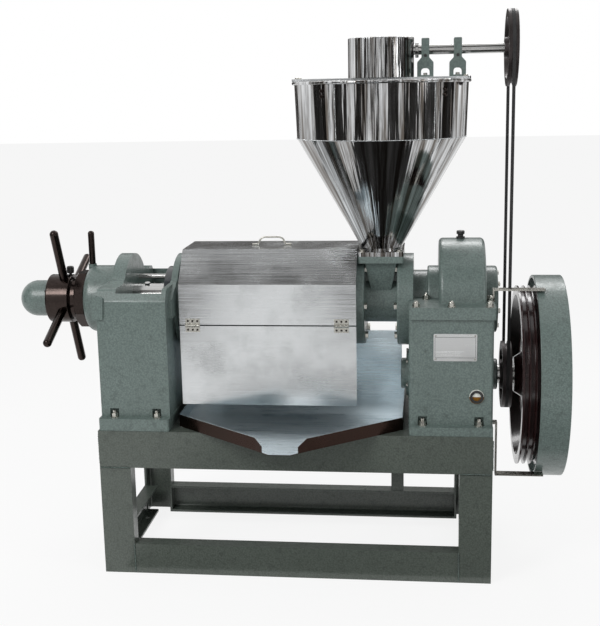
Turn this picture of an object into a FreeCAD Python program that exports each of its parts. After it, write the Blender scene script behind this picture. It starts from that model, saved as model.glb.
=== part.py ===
import FreeCAD, Part

# Screw oil press on a channel frame.
# Millimetres. X runs along the press from the adjuster (-X) to the drive (+X), -Y is the working
# side with the oil lip, +Z is up. The origin is the centre of the anchor bolt pattern on the floor.

import math
import os

Vector = FreeCAD.Vector
X_AXIS = Vector(1, 0, 0)
Y_AXIS = Vector(0, 1, 0)
Z_AXIS = Vector(0, 0, 1)

# ---------------------------------------------------------------- driving dimensions
RUN = 0.05                 # radial clearance of a shaft in its bearing
AIR = 0.3                  # gap between pieces that move past each other

# base frame of rolled channel
RAIL_SETBACK = 2.5         # rail web beyond the casting foot
FRAME_TOP = 476.0
RAIL_HEIGHT = 120.0        # top ring channel
RAIL_FLANGE = 53.0
RAIL_WEB = 5.5
RAIL_TOE = 9.0
LEG_HEIGHT = 100.0         # leg and floor ring channel
LEG_FLANGE = 48.0
LEG_WEB = 5.3
LEG_TOE = 8.5
CHANNEL_ROOT = 7.0         # inner root radius of both channels
LEFT_MARGIN = 8.0          # frame end to pedestal body
POST_WIDTH = 44.0
POST_INSET = 280.0         # post to the right end of the frame
ANCHOR_RADIUS = 9.0
ANCHOR_SPACING_Y = 300.0
ANCHOR_FROM_WEB = 27.0

# stations along the main shaft
SHAFT_HEIGHT = 372.0       # main shaft above the frame
PEDESTAL_WIDTH = 220.0
PLATE_STANDOFF = 12.0      # round plate beyond the pedestal body
CAGE_LENGTH = 562.0
THROAT_LENGTH = 165.0
CASE_STANDOFF = 8.0        # round flange beyond the gearbox body
CASE_LENGTH = 255.0

# cast pedestal with the cake window
CASTING_DEPTH = 510.0      # pedestal and gearbox bodies
FOOT_LEDGE = 25.0          # foot beyond the body in front and behind
FOOT_LIP = 4.0             # foot beyond the body at the ends
PEDESTAL_FOOT = 39.0
PEDESTAL_WALL = 16.0
END_WALL = 60.0
WINDOW_RISE = 74.0         # window sill above the shaft
SHOULDER_DROP = 37.0
SHOULDER_RUN = 25.0
PLATE_RADIUS = 150.0
LEFT_PLATE = 43.0
RIGHT_PLATE = 20.0
CAKE_BORE = 70.0
LUG_SIZE = (35.0, 44.0, 72.0)

# thrust housing and cake adjuster
HOUSING_LENGTH = 94.0
HOUSING_RADIUS = 110.0
HOUSING_WALL = 12.0
HOUSING_ROUND = 24.0
LOCKNUT_LENGTH = 32.0
LOCKNUT_RADIUS = 97.0
LOCKNUT_FLATS = 8
SCREW_RADIUS = 40.0
COLLAR_LENGTH = 24.7
COLLAR_RADIUS = 71.5
HUB_LENGTH = 77.0
HUB_RADIUS = 80.0
CAP_LENGTH = 104.0
CAP_RADIUS = 59.5
CAP_WALL = 8.0
LEVER_COUNT = 4
LEVER_RADIUS = 14.0
LEVER_TIP = 262.0          # from the shaft axis
LEVER_START = -24.0        # first lever, degrees from upright, negative to the front
LEVER_SOCKET = 28.0
LOCK_ROD_RADIUS = 10.5
LOCK_ROD_TIP = 226.0
LOCK_ROD_SOCKET = 14.0
TIE_RADIUS = 8.0
TIE_CIRCLE = 85.0
TIE_ANGLE = 40.0
CHOKE_LENGTH = 35.0
CHOKE_RADIUS = 107.0
CHOKE_BORE = 60.0
CHOKE_TRAVEL = 6.0

# main shaft and worms
JOURNAL_RADIUS = 50.0
SPINE_RADIUS = 30.0
DRIVE_RADIUS = 38.0
WORM_RADIUS = 60.0
FLIGHT_THICK = 13.0
WORM_LENGTHS = (92.0, 84.0, 78.0, 72.0)
WORM_HUBS = (40.0, 43.0, 46.0, 49.0)
WORM_GAP = 34.0
FEED_PITCH = 78.0

# press cage
BAR_COUNT = 28
BAR_INNER = 61.5
BAR_DEPTH = 14.0
BAR_SLOT = 1.2
CAGE_FLANGE = 24.0
CAGE_RADIUS = 140.0
RIB_COUNT = 8
RIB_THICK = 14.0
RIB_RADIUS = 112.0
SEAM_REACH = 138.0
SEAM_THICK = 20.0

# feed throat
THROAT_FLANGE_RADIUS = 145.0
THROAT_LEFT_FLANGE = 32.0
THROAT_RIGHT_FLANGE = 31.0
THROAT_BARREL = 74.0
THROAT_BORE = 61.0
THROAT_RISE = 133.0        # underside of the square flange above the shaft
SQUARE_FLANGE = 144.0
SQUARE_THICK = 21.0
MOUTH_TOP = (100.0, 190.0)
MOUTH_LOW = (60.0, 120.0)
MOUTH_WALL = 9.0

# hopper
HOPPER_FLANGE = 19.0
HOPPER_NECK = 66.0
HOPPER_CONE_HEIGHT = 346.0
HOPPER_LOWER = 265.0
HOPPER_UPPER = 271.0
HOPPER_BAND = 169.0
HOPPER_SHEET = 2.5
RIM_RADIUS = 5.0
BRIDGE_WIDTH = 96.0
BRIDGE_THICK = 8.0

# stirrer drive above the hopper
CAN_RADIUS = 102.0
CAN_HEIGHT = 120.0
CAN_SHEET = 2.5
FEED_SHAFT_RISE = 82.0     # above the bridge
FEED_SHAFT_RADIUS = 15.0
STAND_OFFSETS = (137.0, 236.0)
STAND_BASE = 50.0
STAND_STEM = 24.0
STAND_DEPTH = 42.0
BEVEL_TEETH = 16
BEVEL_RADIUS = 32.0
BEVEL_FACE = 14.0
STIR_RADIUS = 12.0
AUGER_RADIUS = 54.0

# feed belt
BELT_PLANE = 54.0          # from the gearbox body
UPPER_PULLEY = 116.0
LOWER_PULLEY = 108.0
PULLEY_WIDTH = 30.0
BELT_TOP = 10.0
BELT_BASE = 6.5
BELT_HEIGHT = 6.0

# gearbox
CASE_FOOT = 27.0
CASE_WALL = 14.0
SEAM_FLANGE = 23.0         # cover flange above the shaft
CASE_RIM = 13.0            # case rim below the shaft
RIM_LIP = 10.0
HUMP_START = 91.0
HUMP_END = 20.0            # hump to the right face of the case
HUMP_RADIUS = 197.0
HUMP_WALL = 9.0
CASE_FLANGE_RADIUS = 148.0
CASE_FLANGE = 20.0
NECK_LENGTH = 80.0
NECK_RADIUS = 94.0
BOSS_LENGTH = 35.0
BOSS_RADIUS = 108.0
END_BOSS = 21.0
END_BOSS_RADIUS = 107.0
GEAR_MODULE = 8.0
GEAR_TEETH = 44
PINION_TEETH = 18
GEAR_FACE = 70.0
INPUT_RADIUS = 30.0
CAP_DISC = 80.0
INPUT_BOSS = 50.0
GLASS_RADIUS = 22.0
PLATE_SIZE = (130.0, 84.0)

# drive pulley and guard
PULLEY_RADIUS = 288.0
RIM_GAP = 85.0             # gearbox body to the pulley rim
RIM_WIDTH = 84.0
GROOVE_COUNT = 4
GROOVE_PITCH = 19.0
GUARD_RADIUS = 322.0
GUARD_SHEET = 3.0
GUARD_WIDTH = 90.0
GUARD_LAP = 50.0           # pulley rim edge to the guard edge
BRACKET_WIDTH = 30.0
BRACKET_INSET = 42.5       # lower bracket from the front of the case

# hood over the cage
HOOD_OVERLAP = 10.0
HOOD_END_GAP = 14.0
HOOD_TOP = 177.0           # above the shaft
HOOD_FOLD = 78.0
HOOD_HALF_TOP = 95.0
HOOD_HALF = 180.0
HOOD_HINGE = -52.0
HOOD_REAR = -146.0
HOOD_SHEET = 2.0
FLAP_LENGTH = 256.0
FLAP_GAP = 4.0
KNUCKLE_RADIUS = 4.5
LEAF_SIZE = (46.0, 17.0, 1.6)
HINGE_INSET = 42.0
HANDLE_SPAN = 88.0
HANDLE_RISE = 26.0
HANDLE_WIRE = 3.0

# oil tray
TRAY_GAP = 10.5            # tray end to the round plate of each casting
TRAY_WALL = 40.0
TRAY_SHEET = 2.0
TRAY_CORNER = 222.0
TRAY_LIP_BASE = 77.0
TRAY_LIP_TIP = 32.0
TRAY_LIP_FRONT = 444.0
TRAY_TIP_FRONT = 485.0
TRAY_BACK = 195.0
SPLASH_HEIGHT = 221.0

# fasteners
STUD_RADIUS = 6.0
STUD_OUTSET = 0.5          # stud axis beyond the body's face
NUT_FLATS = 19.0
NUT_HEIGHT = 11.0
STUD_INSET = 42.0

# ---------------------------------------------------------------- worked-out stations
FRAME_LENGTH = (LEFT_MARGIN + PEDESTAL_WIDTH + PLATE_STANDOFF + CAGE_LENGTH + THROAT_LENGTH
                + CASE_STANDOFF + CASE_LENGTH)
FRAME_LEFT = -FRAME_LENGTH / 2
FOOT_DEPTH = CASTING_DEPTH + 2 * FOOT_LEDGE
FRAME_DEPTH = FOOT_DEPTH + 2 * RAIL_SETBACK
FRAME_RIGHT = FRAME_LENGTH / 2
FRAME_FRONT = -FRAME_DEPTH / 2
SHAFT_Z = FRAME_TOP + SHAFT_HEIGHT
INPUT_Z = SHAFT_Z - GEAR_MODULE * (GEAR_TEETH + PINION_TEETH) / 2
PEDESTAL_LEFT = FRAME_LEFT + LEFT_MARGIN
PEDESTAL_RIGHT = PEDESTAL_LEFT + PEDESTAL_WIDTH
CAGE_LEFT = PEDESTAL_RIGHT + PLATE_STANDOFF
CAGE_RIGHT = CAGE_LEFT + CAGE_LENGTH
THROAT_LEFT = CAGE_RIGHT
THROAT_RIGHT = THROAT_LEFT + THROAT_LENGTH
CASE_LEFT = THROAT_RIGHT + CASE_STANDOFF
CASE_RIGHT = CASE_LEFT + CASE_LENGTH
MOUTH_X = (THROAT_LEFT + THROAT_LEFT_FLANGE + THROAT_RIGHT - THROAT_RIGHT_FLANGE) / 2
HOUSING_LEFT = PEDESTAL_LEFT - HOUSING_LENGTH
LOCKNUT_LEFT = HOUSING_LEFT - LOCKNUT_LENGTH
HUB_RIGHT = LOCKNUT_LEFT - AIR - COLLAR_LENGTH
HUB_LEFT = HUB_RIGHT - HUB_LENGTH
LEVER_X = (HUB_LEFT + HUB_RIGHT) / 2 + 16.5
SILL_Z = SHAFT_Z + WINDOW_RISE
SQUARE_Z = SHAFT_Z + THROAT_RISE
HOPPER_Z = SQUARE_Z + SQUARE_THICK
CONE_Z = HOPPER_Z + HOPPER_FLANGE
BAND_Z = CONE_Z + HOPPER_CONE_HEIGHT
RIM_Z = BAND_Z + HOPPER_BAND
BRIDGE_Z = RIM_Z + RIM_RADIUS
DECK_Z = BRIDGE_Z + BRIDGE_THICK
FEED_Z = DECK_Z + FEED_SHAFT_RISE
BELT_X = CASE_RIGHT + BELT_PLANE
RIM_X = CASE_RIGHT + RIM_GAP
GUARD_X = RIM_X + GUARD_LAP
HUMP_LENGTH = CASE_LENGTH - HUMP_START - HUMP_END
GEAR_X = CASE_LEFT + HUMP_START + (HUMP_LENGTH - GEAR_FACE) / 2
HOOD_LEFT = CAGE_LEFT + HOOD_END_GAP
HOOD_RIGHT = CAGE_RIGHT + HOOD_OVERLAP
HOOD_FRONT = -HOOD_HALF
HINGE_Z = SHAFT_Z + HOOD_HINGE
HINGE_Y = HOOD_FRONT - KNUCKLE_RADIUS
TRAY_X = (CAGE_LEFT + THROAT_RIGHT) / 2
TRAY_HALF = (THROAT_RIGHT - CAGE_LEFT) / 2 - TRAY_GAP
TRAY_Z = FRAME_TOP + AIR


# ---------------------------------------------------------------- shape helpers
def box(x0, x1, y0, y1, z0, z1):
    return Part.makeBox(x1 - x0, y1 - y0, z1 - z0, Vector(x0, y0, z0))


def rod_x(radius, x0, x1, y=0.0, z=SHAFT_Z):
    return Part.makeCylinder(radius, x1 - x0, Vector(x0, y, z), X_AXIS)


def rod_y(radius, y0, y1, x, z):
    return Part.makeCylinder(radius, y1 - y0, Vector(x, y0, z), Y_AXIS)


def rod_z(radius, z0, z1, x, y):
    return Part.makeCylinder(radius, z1 - z0, Vector(x, y, z0), Z_AXIS)


def fuse(first, *others):
    return first.fuse(list(others)).removeSplitter()


def cut(first, *tools):
    return first.cut(list(tools))


def rounded_outline(points, radii):
    """Closed wire through the points, with each corner rounded by its radius."""
    edges = []
    starts = []
    ends = []
    middles = []
    count = len(points)
    for i in range(count):
        corner = points[i]
        back = (points[i - 1] - corner).normalize()
        ahead = (points[(i + 1) % count] - corner).normalize()
        half = back.getAngle(ahead) / 2
        reach = radii[i] / math.tan(half)
        starts.append(corner + back * reach)
        ends.append(corner + ahead * reach)
        middle = (back + ahead).normalize()
        middles.append(corner + middle * (radii[i] / math.sin(half) - radii[i]))
    for i in range(count):
        if radii[i] > 0:
            edges.append(Part.Arc(starts[i], middles[i], ends[i]).toShape())
        following = starts[(i + 1) % count]
        if (following - ends[i]).Length > 1e-6:
            edges.append(Part.LineSegment(ends[i], following).toShape())
    return Part.Wire(edges)


def slab_x(points, x0, x1, radius=0.0):
    """Plate with its outline in Y and Z, from x0 to x1."""
    corners = [Vector(x0, y, z) for y, z in points]
    radii = radius if isinstance(radius, (list, tuple)) else [radius] * len(corners)
    return Part.Face(rounded_outline(corners, radii)).extrude(Vector(x1 - x0, 0, 0))


def slab_y(points, y0, y1, radius=0.0):
    corners = [Vector(x, y0, z) for x, z in points]
    radii = radius if isinstance(radius, (list, tuple)) else [radius] * len(corners)
    return Part.Face(rounded_outline(corners, radii)).extrude(Vector(0, y1 - y0, 0))


def slab_z(points, z0, z1, radius=0.0):
    corners = [Vector(x, y, z0) for x, y in points]
    radii = radius if isinstance(radius, (list, tuple)) else [radius] * len(corners)
    return Part.Face(rounded_outline(corners, radii)).extrude(Vector(0, 0, z1 - z0))


def rectangle(x0, x1, y0, y1):
    return [(x0, y0), (x1, y0), (x1, y1), (x0, y1)]


def turned_x(profile, z=SHAFT_Z, radii=None):
    """Solid of revolution about the X line at height z, from (x, radius) points."""
    corners = [Vector(x, 0, z + r) for x, r in profile]
    outline = rounded_outline(corners, radii or [0.0] * len(corners))
    return Part.Face(outline).revolve(Vector(0, 0, z), X_AXIS, 360)


def turned_z(profile, x, radii=None):
    """Solid of revolution about the upright line at x, from (radius, z) points."""
    corners = [Vector(x + r, 0, z) for r, z in profile]
    outline = rounded_outline(corners, radii or [0.0] * len(corners))
    return Part.Face(outline).revolve(Vector(x, 0, 0), Z_AXIS, 360)


def about_shaft(shape, degrees, z=SHAFT_Z):
    """Copy turned about the X line at height z; a positive angle leans an upright piece back."""
    copy = shape.copy()
    copy.rotate(Vector(0, 0, z), X_AXIS, -degrees)
    return copy


def moved(shape, x=0.0, y=0.0, z=0.0):
    copy = shape.copy()
    copy.translate(Vector(x, y, z))
    return copy


def save(node, *solids):
    shape = solids[0] if len(solids) == 1 else Part.makeCompound(list(solids))
    shape.exportStep("parts/" + node + ".step")


# ---------------------------------------------------------------- base frame
def channel_outline(height, flange, web, toe):
    """Corners and radii of a rolled channel, web at zero and flanges towards plus."""
    points = [(0, 0), (flange, 0), (flange, toe), (web, toe),
              (web, height - toe), (flange, height - toe), (flange, height), (0, height)]
    radii = [0, 0, 3.0, CHANNEL_ROOT, CHANNEL_ROOT, 3.0, 0, 0]
    return points, radii


def channel_along_x(x0, x1, web_y, inward, z0, size):
    points, radii = channel_outline(*size)
    return slab_x([(web_y + inward * u, z0 + v) for u, v in points], x0, x1, radii)


def channel_along_y(y0, y1, web_x, inward, z0, size):
    points, radii = channel_outline(*size)
    return slab_y([(web_x + inward * u, z0 + v) for u, v in points], y0, y1, radii)


def channel_upright(z0, z1, x0, web_y, inward, size):
    points, radii = channel_outline(*size)
    return slab_z([(x0 + v, web_y + inward * u) for u, v in points], z0, z1, radii)


RAIL = (RAIL_HEIGHT, RAIL_FLANGE, RAIL_WEB, RAIL_TOE)
LEG = (LEG_HEIGHT, LEG_FLANGE, LEG_WEB, LEG_TOE)
RAIL_Z = FRAME_TOP - RAIL_HEIGHT


def stud_places():
    """Centres of the foot studs: two rows under the pedestal and two under the gearbox."""
    row = -CASTING_DEPTH / 2 - STUD_OUTSET
    columns = [PEDESTAL_LEFT + STUD_INSET, PEDESTAL_RIGHT - STUD_INSET,
               CASE_LEFT + STUD_INSET, CASE_RIGHT - STUD_INSET]
    return [(x, y) for x in columns for y in (row, -row)]


def stud_holes(z0, z1):
    return [rod_z(STUD_RADIUS + AIR, z0, z1, x, y) for x, y in stud_places()]


def top_rail(side):
    rail = channel_along_x(FRAME_LEFT, FRAME_RIGHT, side * -FRAME_FRONT, -side, RAIL_Z, RAIL)
    return cut(rail, *stud_holes(FRAME_TOP - RAIL_TOE - 1, FRAME_TOP + 1))


def coped_rail(web_x, inward):
    """Channel between the long rails, with its flanges cut back to let the web reach theirs."""
    half = -FRAME_FRONT - RAIL_WEB
    tip = -FRAME_FRONT - RAIL_FLANGE
    clear = RAIL_TOE + CHANNEL_ROOT
    rail = channel_along_y(-half, half, web_x, inward, RAIL_Z, RAIL)
    across = sorted((web_x - inward, web_x + inward * (RAIL_FLANGE + 1)))
    notches = []
    for y0, y1 in ((-half - 1, -tip), (tip, half + 1)):
        notches.append(box(across[0], across[1], y0, y1, RAIL_Z - 1, RAIL_Z + clear))
        notches.append(box(across[0], across[1], y0, y1, FRAME_TOP - clear, FRAME_TOP + 1))
    return cut(rail, *notches)


def cross_members():
    """Two inner rails: each carries the inner edge of a casting foot and an end of the tray."""
    left = coped_rail(PEDESTAL_RIGHT - RAIL_FLANGE / 2, 1)
    right = coped_rail(CASE_LEFT + RAIL_FLANGE / 2, -1)
    return left, right


def leg(x0, side):
    return channel_upright(0, RAIL_Z, x0, side * -FRAME_FRONT, -side, LEG)


def floor_rail(side):
    x0 = FRAME_LEFT + LEG_HEIGHT
    return channel_along_x(x0, -x0, side * -FRAME_FRONT, -side, 0, LEG)


def floor_side_rail(side):
    """Short floor rail between the legs, with the two anchor holes of its side."""
    y1 = -FRAME_FRONT - LEG_FLANGE
    rail = channel_along_y(-y1, y1, side * FRAME_RIGHT, -side, 0, LEG)
    hole_x = side * (FRAME_RIGHT - ANCHOR_FROM_WEB)
    holes = [rod_z(ANCHOR_RADIUS, -1, LEG_TOE + 1, hole_x, y * ANCHOR_SPACING_Y / 2) for y in (-1, 1)]
    return cut(rail, *holes)


def rear_post():
    """Angle post between the two rear rails."""
    x0 = FRAME_RIGHT - POST_INSET - POST_WIDTH
    y1 = -FRAME_FRONT - 2
    y0 = y1 - POST_WIDTH
    toe = 5.0
    points = [(x0, y0), (x0 + POST_WIDTH, y0), (x0 + POST_WIDTH, y0 + toe), (x0 + toe, y0 + toe),
              (x0 + toe, y1), (x0, y1)]
    return slab_z(points, LEG_HEIGHT, RAIL_Z, [0, 0, 3.0, 5.0, 3.0, 0])


def build_frame():
    save("top_rail_front", top_rail(-1))
    save("top_rail_rear", top_rail(1))
    save("top_end_rails", coped_rail(FRAME_LEFT, 1), coped_rail(FRAME_RIGHT, -1))
    save("cross_members", *cross_members())
    right_leg = FRAME_RIGHT - LEG_HEIGHT
    save("front_legs", leg(FRAME_LEFT, -1), leg(right_leg, -1))
    save("rear_legs", leg(FRAME_LEFT, 1), leg(right_leg, 1))
    save("floor_rails", floor_rail(-1), floor_rail(1))
    save("floor_side_rails", floor_side_rail(-1), floor_side_rail(1))
    save("rear_post", rear_post())


# ---------------------------------------------------------------- cast pedestal
def tie_place(sign):
    angle = math.radians(TIE_ANGLE)
    return sign * TIE_CIRCLE * math.sin(angle), SHAFT_Z + sign * TIE_CIRCLE * math.cos(angle)


def tie_holes(x0, x1):
    return [rod_x(TIE_RADIUS + RUN, x0, x1, *tie_place(sign)) for sign in (1, -1)]


def pedestal_section(half, z0):
    """Outline in Y and Z of the pedestal body with its sloped shoulders."""
    sill = half - SHOULDER_RUN
    return [(-half, z0), (half, z0), (half, SILL_Z - SHOULDER_DROP), (sill, SILL_Z),
            (-sill, SILL_Z), (-half, SILL_Z - SHOULDER_DROP)]


def round_plate(x0, thick, shoulder):
    """Round-topped plate about the shaft, flared down to the shoulder of the body."""
    disc = rod_x(PLATE_RADIUS, x0, x0 + thick)
    foot_z = SILL_Z - SHOULDER_DROP
    spread = shoulder - 40.0
    neck = PLATE_RADIUS * 0.9
    web = slab_x([(-spread, foot_z - 60), (spread, foot_z - 60), (spread, foot_z), (neck, SILL_Z + 8),
                  (-neck, SILL_Z + 8), (-spread, foot_z)], x0, x0 + thick)
    return fuse(disc, web)


def pedestal():
    """Open-topped cast box: cake falls through it from the window between its round plates."""
    half = CASTING_DEPTH / 2
    foot_z = FRAME_TOP + PEDESTAL_FOOT
    foot = slab_z(rectangle(PEDESTAL_LEFT - FOOT_LIP, PEDESTAL_RIGHT + 1, -FOOT_DEPTH / 2, FOOT_DEPTH / 2),
                  FRAME_TOP, foot_z, 6.0)
    body = slab_x(pedestal_section(half, foot_z - 1), PEDESTAL_LEFT, PEDESTAL_RIGHT,
                  [0, 0, 14.0, 14.0, 14.0, 14.0])
    left_x = PEDESTAL_LEFT + END_WALL - LEFT_PLATE
    left_plate = round_plate(left_x, LEFT_PLATE, half)
    right_plate = round_plate(CAGE_LEFT - RIGHT_PLATE, RIGHT_PLATE, half)
    lug_x, lug_y, lug_z = LUG_SIZE
    lug_low = SHAFT_Z - 19.0
    lug = slab_y([(PEDESTAL_LEFT - 14, lug_low), (PEDESTAL_LEFT + 2, lug_low),
                  (PEDESTAL_LEFT + 2, lug_low + lug_z), (PEDESTAL_LEFT - 7, lug_low + lug_z)],
                 -half - 6, -half - 6 + lug_y, [5.0, 0, 0, 7.0])
    lug_face = slab_y([(PEDESTAL_LEFT - 14, lug_low), (PEDESTAL_LEFT - 14 + lug_x, lug_low),
                       (PEDESTAL_LEFT - 10 + lug_x, lug_low + lug_z), (PEDESTAL_LEFT - 7, lug_low + lug_z)],
                      -half - 6, -half + 4, [5.0, 5.0, 9.0, 9.0])
    window = box(PEDESTAL_LEFT + END_WALL, PEDESTAL_RIGHT - PEDESTAL_WALL + 2,
                 -half + PEDESTAL_WALL, half - PEDESTAL_WALL, FRAME_TOP - 1, SILL_Z + 1)
    pocket = box(PEDESTAL_LEFT + PEDESTAL_WALL, PEDESTAL_RIGHT - PEDESTAL_WALL + 2,
                 -half + PEDESTAL_WALL, half - PEDESTAL_WALL, FRAME_TOP - 1, SHAFT_Z - PLATE_RADIUS - 18)
    body = cut(fuse(body, foot, lug, lug_face), window, pocket)
    seat = rod_x(HOUSING_RADIUS, PEDESTAL_LEFT, left_x + 1)
    body = fuse(body, left_plate, right_plate, seat)
    plate_x = CAGE_LEFT - RIGHT_PLATE
    return cut(body,
               rod_x(JOURNAL_RADIUS + RUN, PEDESTAL_LEFT - 1, PEDESTAL_LEFT + END_WALL + 1),
               rod_x(CHOKE_RADIUS + 2, plate_x - 8, plate_x),
               rod_x(CAKE_BORE, plate_x - 1, CAGE_LEFT + 1),
               *tie_holes(PEDESTAL_LEFT - 1, PEDESTAL_LEFT + END_WALL + 1),
               *stud_pockets(foot_z), *stud_holes(FRAME_TOP - 1, foot_z + 1))


def stud_pockets(foot_z):
    """Room for a nut and washer, cast into the body above the foot."""
    return [rod_z(NUT_FLATS * 0.75, foot_z, foot_z + 28, x, y) for x, y in stud_places()]


def foot_stud(x, y, foot_z):
    """Stud through a casting foot and the rail flange, with a nut and washer on each side."""
    corner = NUT_FLATS / math.sqrt(3)
    flange_z = FRAME_TOP - RAIL_TOE
    pieces = [rod_z(STUD_RADIUS, flange_z - 18, foot_z + 23, x, y),
              rod_z(corner + 1.5, foot_z, foot_z + 3, x, y),
              rod_z(corner + 0.5, flange_z - 3, flange_z, x, y)]
    for z0 in (foot_z + 3, flange_z - 3 - NUT_HEIGHT):
        pieces.append(hexagon(x, y, z0, NUT_HEIGHT, NUT_FLATS))
    return fuse(*pieces)


def hexagon(x, y, z0, height, flats):
    corner = flats / math.sqrt(3)
    points = []
    for i in range(6):
        angle = math.radians(60 * i)
        points.append((x + corner * math.cos(angle), y + corner * math.sin(angle)))
    return slab_z(points, z0, z0 + height)


def build_pedestal():
    save("pedestal", pedestal())
    studs = []
    for x, y in stud_places():
        foot = PEDESTAL_FOOT if x < CAGE_LEFT else CASE_FOOT
        studs.append(foot_stud(x, y, FRAME_TOP + foot))
    save("foot_studs", *studs)


# ---------------------------------------------------------------- adjuster
def thrust_housing():
    """Bell bolted to the pedestal, round the crosshead that pulls the choke ring."""
    x0 = HOUSING_LEFT
    x1 = PEDESTAL_LEFT
    inner = HOUSING_RADIUS - HOUSING_WALL
    profile = [(x0, SCREW_RADIUS + RUN), (x0, HOUSING_RADIUS), (x1, HOUSING_RADIUS), (x1, inner),
               (x0 + HOUSING_WALL, inner), (x0 + HOUSING_WALL, SCREW_RADIUS + RUN)]
    bell = turned_x(profile, radii=[0, HOUSING_ROUND, 0, 0, 10.0, 0])
    boss = rod_z(LOCK_ROD_RADIUS + 3, SHAFT_Z + LOCKNUT_RADIUS + 1.5, lock_boss_z(), lock_rod_x(), 0)
    socket = rod_z(LOCK_ROD_RADIUS + RUN, lock_boss_z() - LOCK_ROD_SOCKET, lock_boss_z() + 1, lock_rod_x(), 0)
    return cut(fuse(bell, boss), socket)


def lock_rod_x():
    return HOUSING_LEFT + LOCK_ROD_RADIUS + 1.5


def lock_boss_z():
    return SHAFT_Z + HOUSING_RADIUS + 6


def locknut():
    """Faceted nut with turned-down corners."""
    x0 = LOCKNUT_LEFT
    x1 = HOUSING_LEFT
    edge = LOCKNUT_RADIUS - 7
    blank = turned_x([(x0, SCREW_RADIUS + RUN), (x0, edge), (x0 + 6, LOCKNUT_RADIUS),
                      (x1, LOCKNUT_RADIUS), (x1, SCREW_RADIUS + RUN)])
    points = []
    for i in range(LOCKNUT_FLATS):
        angle = math.pi * (2 * i + 1) / LOCKNUT_FLATS
        points.append((LOCKNUT_RADIUS * math.sin(angle), SHAFT_Z + LOCKNUT_RADIUS * math.cos(angle)))
    return blank.common(slab_x(points, x0, x1))


def lever_angles():
    return [LEVER_START + 360.0 * i / LEVER_COUNT for i in range(LEVER_COUNT)]


def lever_hub():
    """Nut with its levers' sockets and the collar that runs against the locknut."""
    bore = SCREW_RADIUS + RUN
    profile = [(HUB_LEFT, bore), (HUB_LEFT, HUB_RADIUS), (HUB_RIGHT, HUB_RADIUS),
               (HUB_RIGHT, COLLAR_RADIUS - 6), (HUB_RIGHT + 5, COLLAR_RADIUS - 6),
               (HUB_RIGHT + 5, COLLAR_RADIUS), (HUB_RIGHT + COLLAR_LENGTH, COLLAR_RADIUS),
               (HUB_RIGHT + COLLAR_LENGTH, bore)]
    hub = turned_x(profile, radii=[0, 5.0, 3.0, 0, 0, 2.0, 2.0, 0])
    sockets = []
    for angle in lever_angles():
        socket = rod_z(LEVER_RADIUS + RUN, SHAFT_Z + HUB_RADIUS - LEVER_SOCKET, SHAFT_Z + LEVER_TIP, LEVER_X, 0)
        sockets.append(about_shaft(socket, angle))
    sockets.append(rod_z(5.0 + RUN, SHAFT_Z + HUB_RADIUS - 18, SHAFT_Z + HUB_RADIUS + 1, thumb_x(), 0))
    return cut(hub, *sockets)


def thumb_x():
    return HUB_RIGHT - 9.0


def hub_lever(angle):
    """Round rod with a domed end and a shouldered root."""
    low = HUB_RADIUS - LEVER_SOCKET
    root = LEVER_RADIUS
    profile = [(0, SHAFT_Z + low), (root, SHAFT_Z + low), (root, SHAFT_Z + LEVER_TIP), (0, SHAFT_Z + LEVER_TIP)]
    rod = turned_z(profile, LEVER_X, [0, 0, root * 0.9, 0])
    return about_shaft(rod, angle)


def end_cap():
    """Hollow dome over the end of the adjusting screw."""
    x0 = HUB_LEFT - CAP_LENGTH
    inner = CAP_RADIUS - CAP_WALL
    outer = turned_x([(x0, 0), (x0, CAP_RADIUS), (HUB_LEFT, CAP_RADIUS), (HUB_LEFT, 0)],
                     radii=[0, CAP_RADIUS * 0.97, 0, 0])
    hollow = turned_x([(x0 + CAP_WALL, 0), (x0 + CAP_WALL, inner), (HUB_LEFT + 1, inner), (HUB_LEFT + 1, 0)],
                      radii=[0, inner * 0.97, 0, 0])
    return cut(outer, hollow)


def thumb_screw():
    base = SHAFT_Z + HUB_RADIUS
    return turned_z([(0, base - 16), (5.0, base - 16), (5.0, base + 5), (11.5, base + 5),
                     (11.5, base + 28), (0, base + 28)], thumb_x(), [0, 0, 0, 2.0, 3.0, 0])


def adjusting_screw():
    """Screw with the crosshead that the two tie bars are shrunk into."""
    x0 = HUB_LEFT - CAP_LENGTH * 0.45
    head_x = HOUSING_LEFT + HOUSING_LENGTH * 0.5
    head_r = HOUSING_RADIUS - HOUSING_WALL - 3
    profile = [(x0, 0), (x0, SCREW_RADIUS), (head_x, SCREW_RADIUS), (head_x, head_r),
               (head_x + 20, head_r), (head_x + 20, 0)]
    return cut(turned_x(profile, radii=[0, 4.0, 6.0, 2.0, 2.0, 0]), *tie_holes(head_x - 1, head_x + 21))


def tie_bar(sign):
    x0 = HOUSING_LEFT + HOUSING_LENGTH * 0.5
    return rod_x(TIE_RADIUS, x0, choke_left() + CHOKE_LENGTH * 0.5, *tie_place(sign))


def choke_left():
    return CAGE_LEFT - RIGHT_PLATE - CHOKE_LENGTH


def choke_ring():
    """Ring that narrows the cake outlet, with a spanner hole and a coned bore."""
    x0 = choke_left()
    x1 = x0 + CHOKE_LENGTH - CHOKE_TRAVEL - AIR
    ring = turned_x([(x0, CHOKE_BORE), (x0, CHOKE_RADIUS), (x1, CHOKE_RADIUS), (x1, CHOKE_BORE + 8)],
                    radii=[0, 3.0, 3.0, 0])
    hole = rod_z(7.0, SHAFT_Z + CHOKE_RADIUS - 18, SHAFT_Z + CHOKE_RADIUS + 1, (x0 + x1) / 2, 0)
    seats = [rod_x(TIE_RADIUS + RUN, x0 - 1, x0 + CHOKE_LENGTH * 0.5, *tie_place(sign)) for sign in (1, -1)]
    return cut(ring, hole, *seats)


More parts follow.
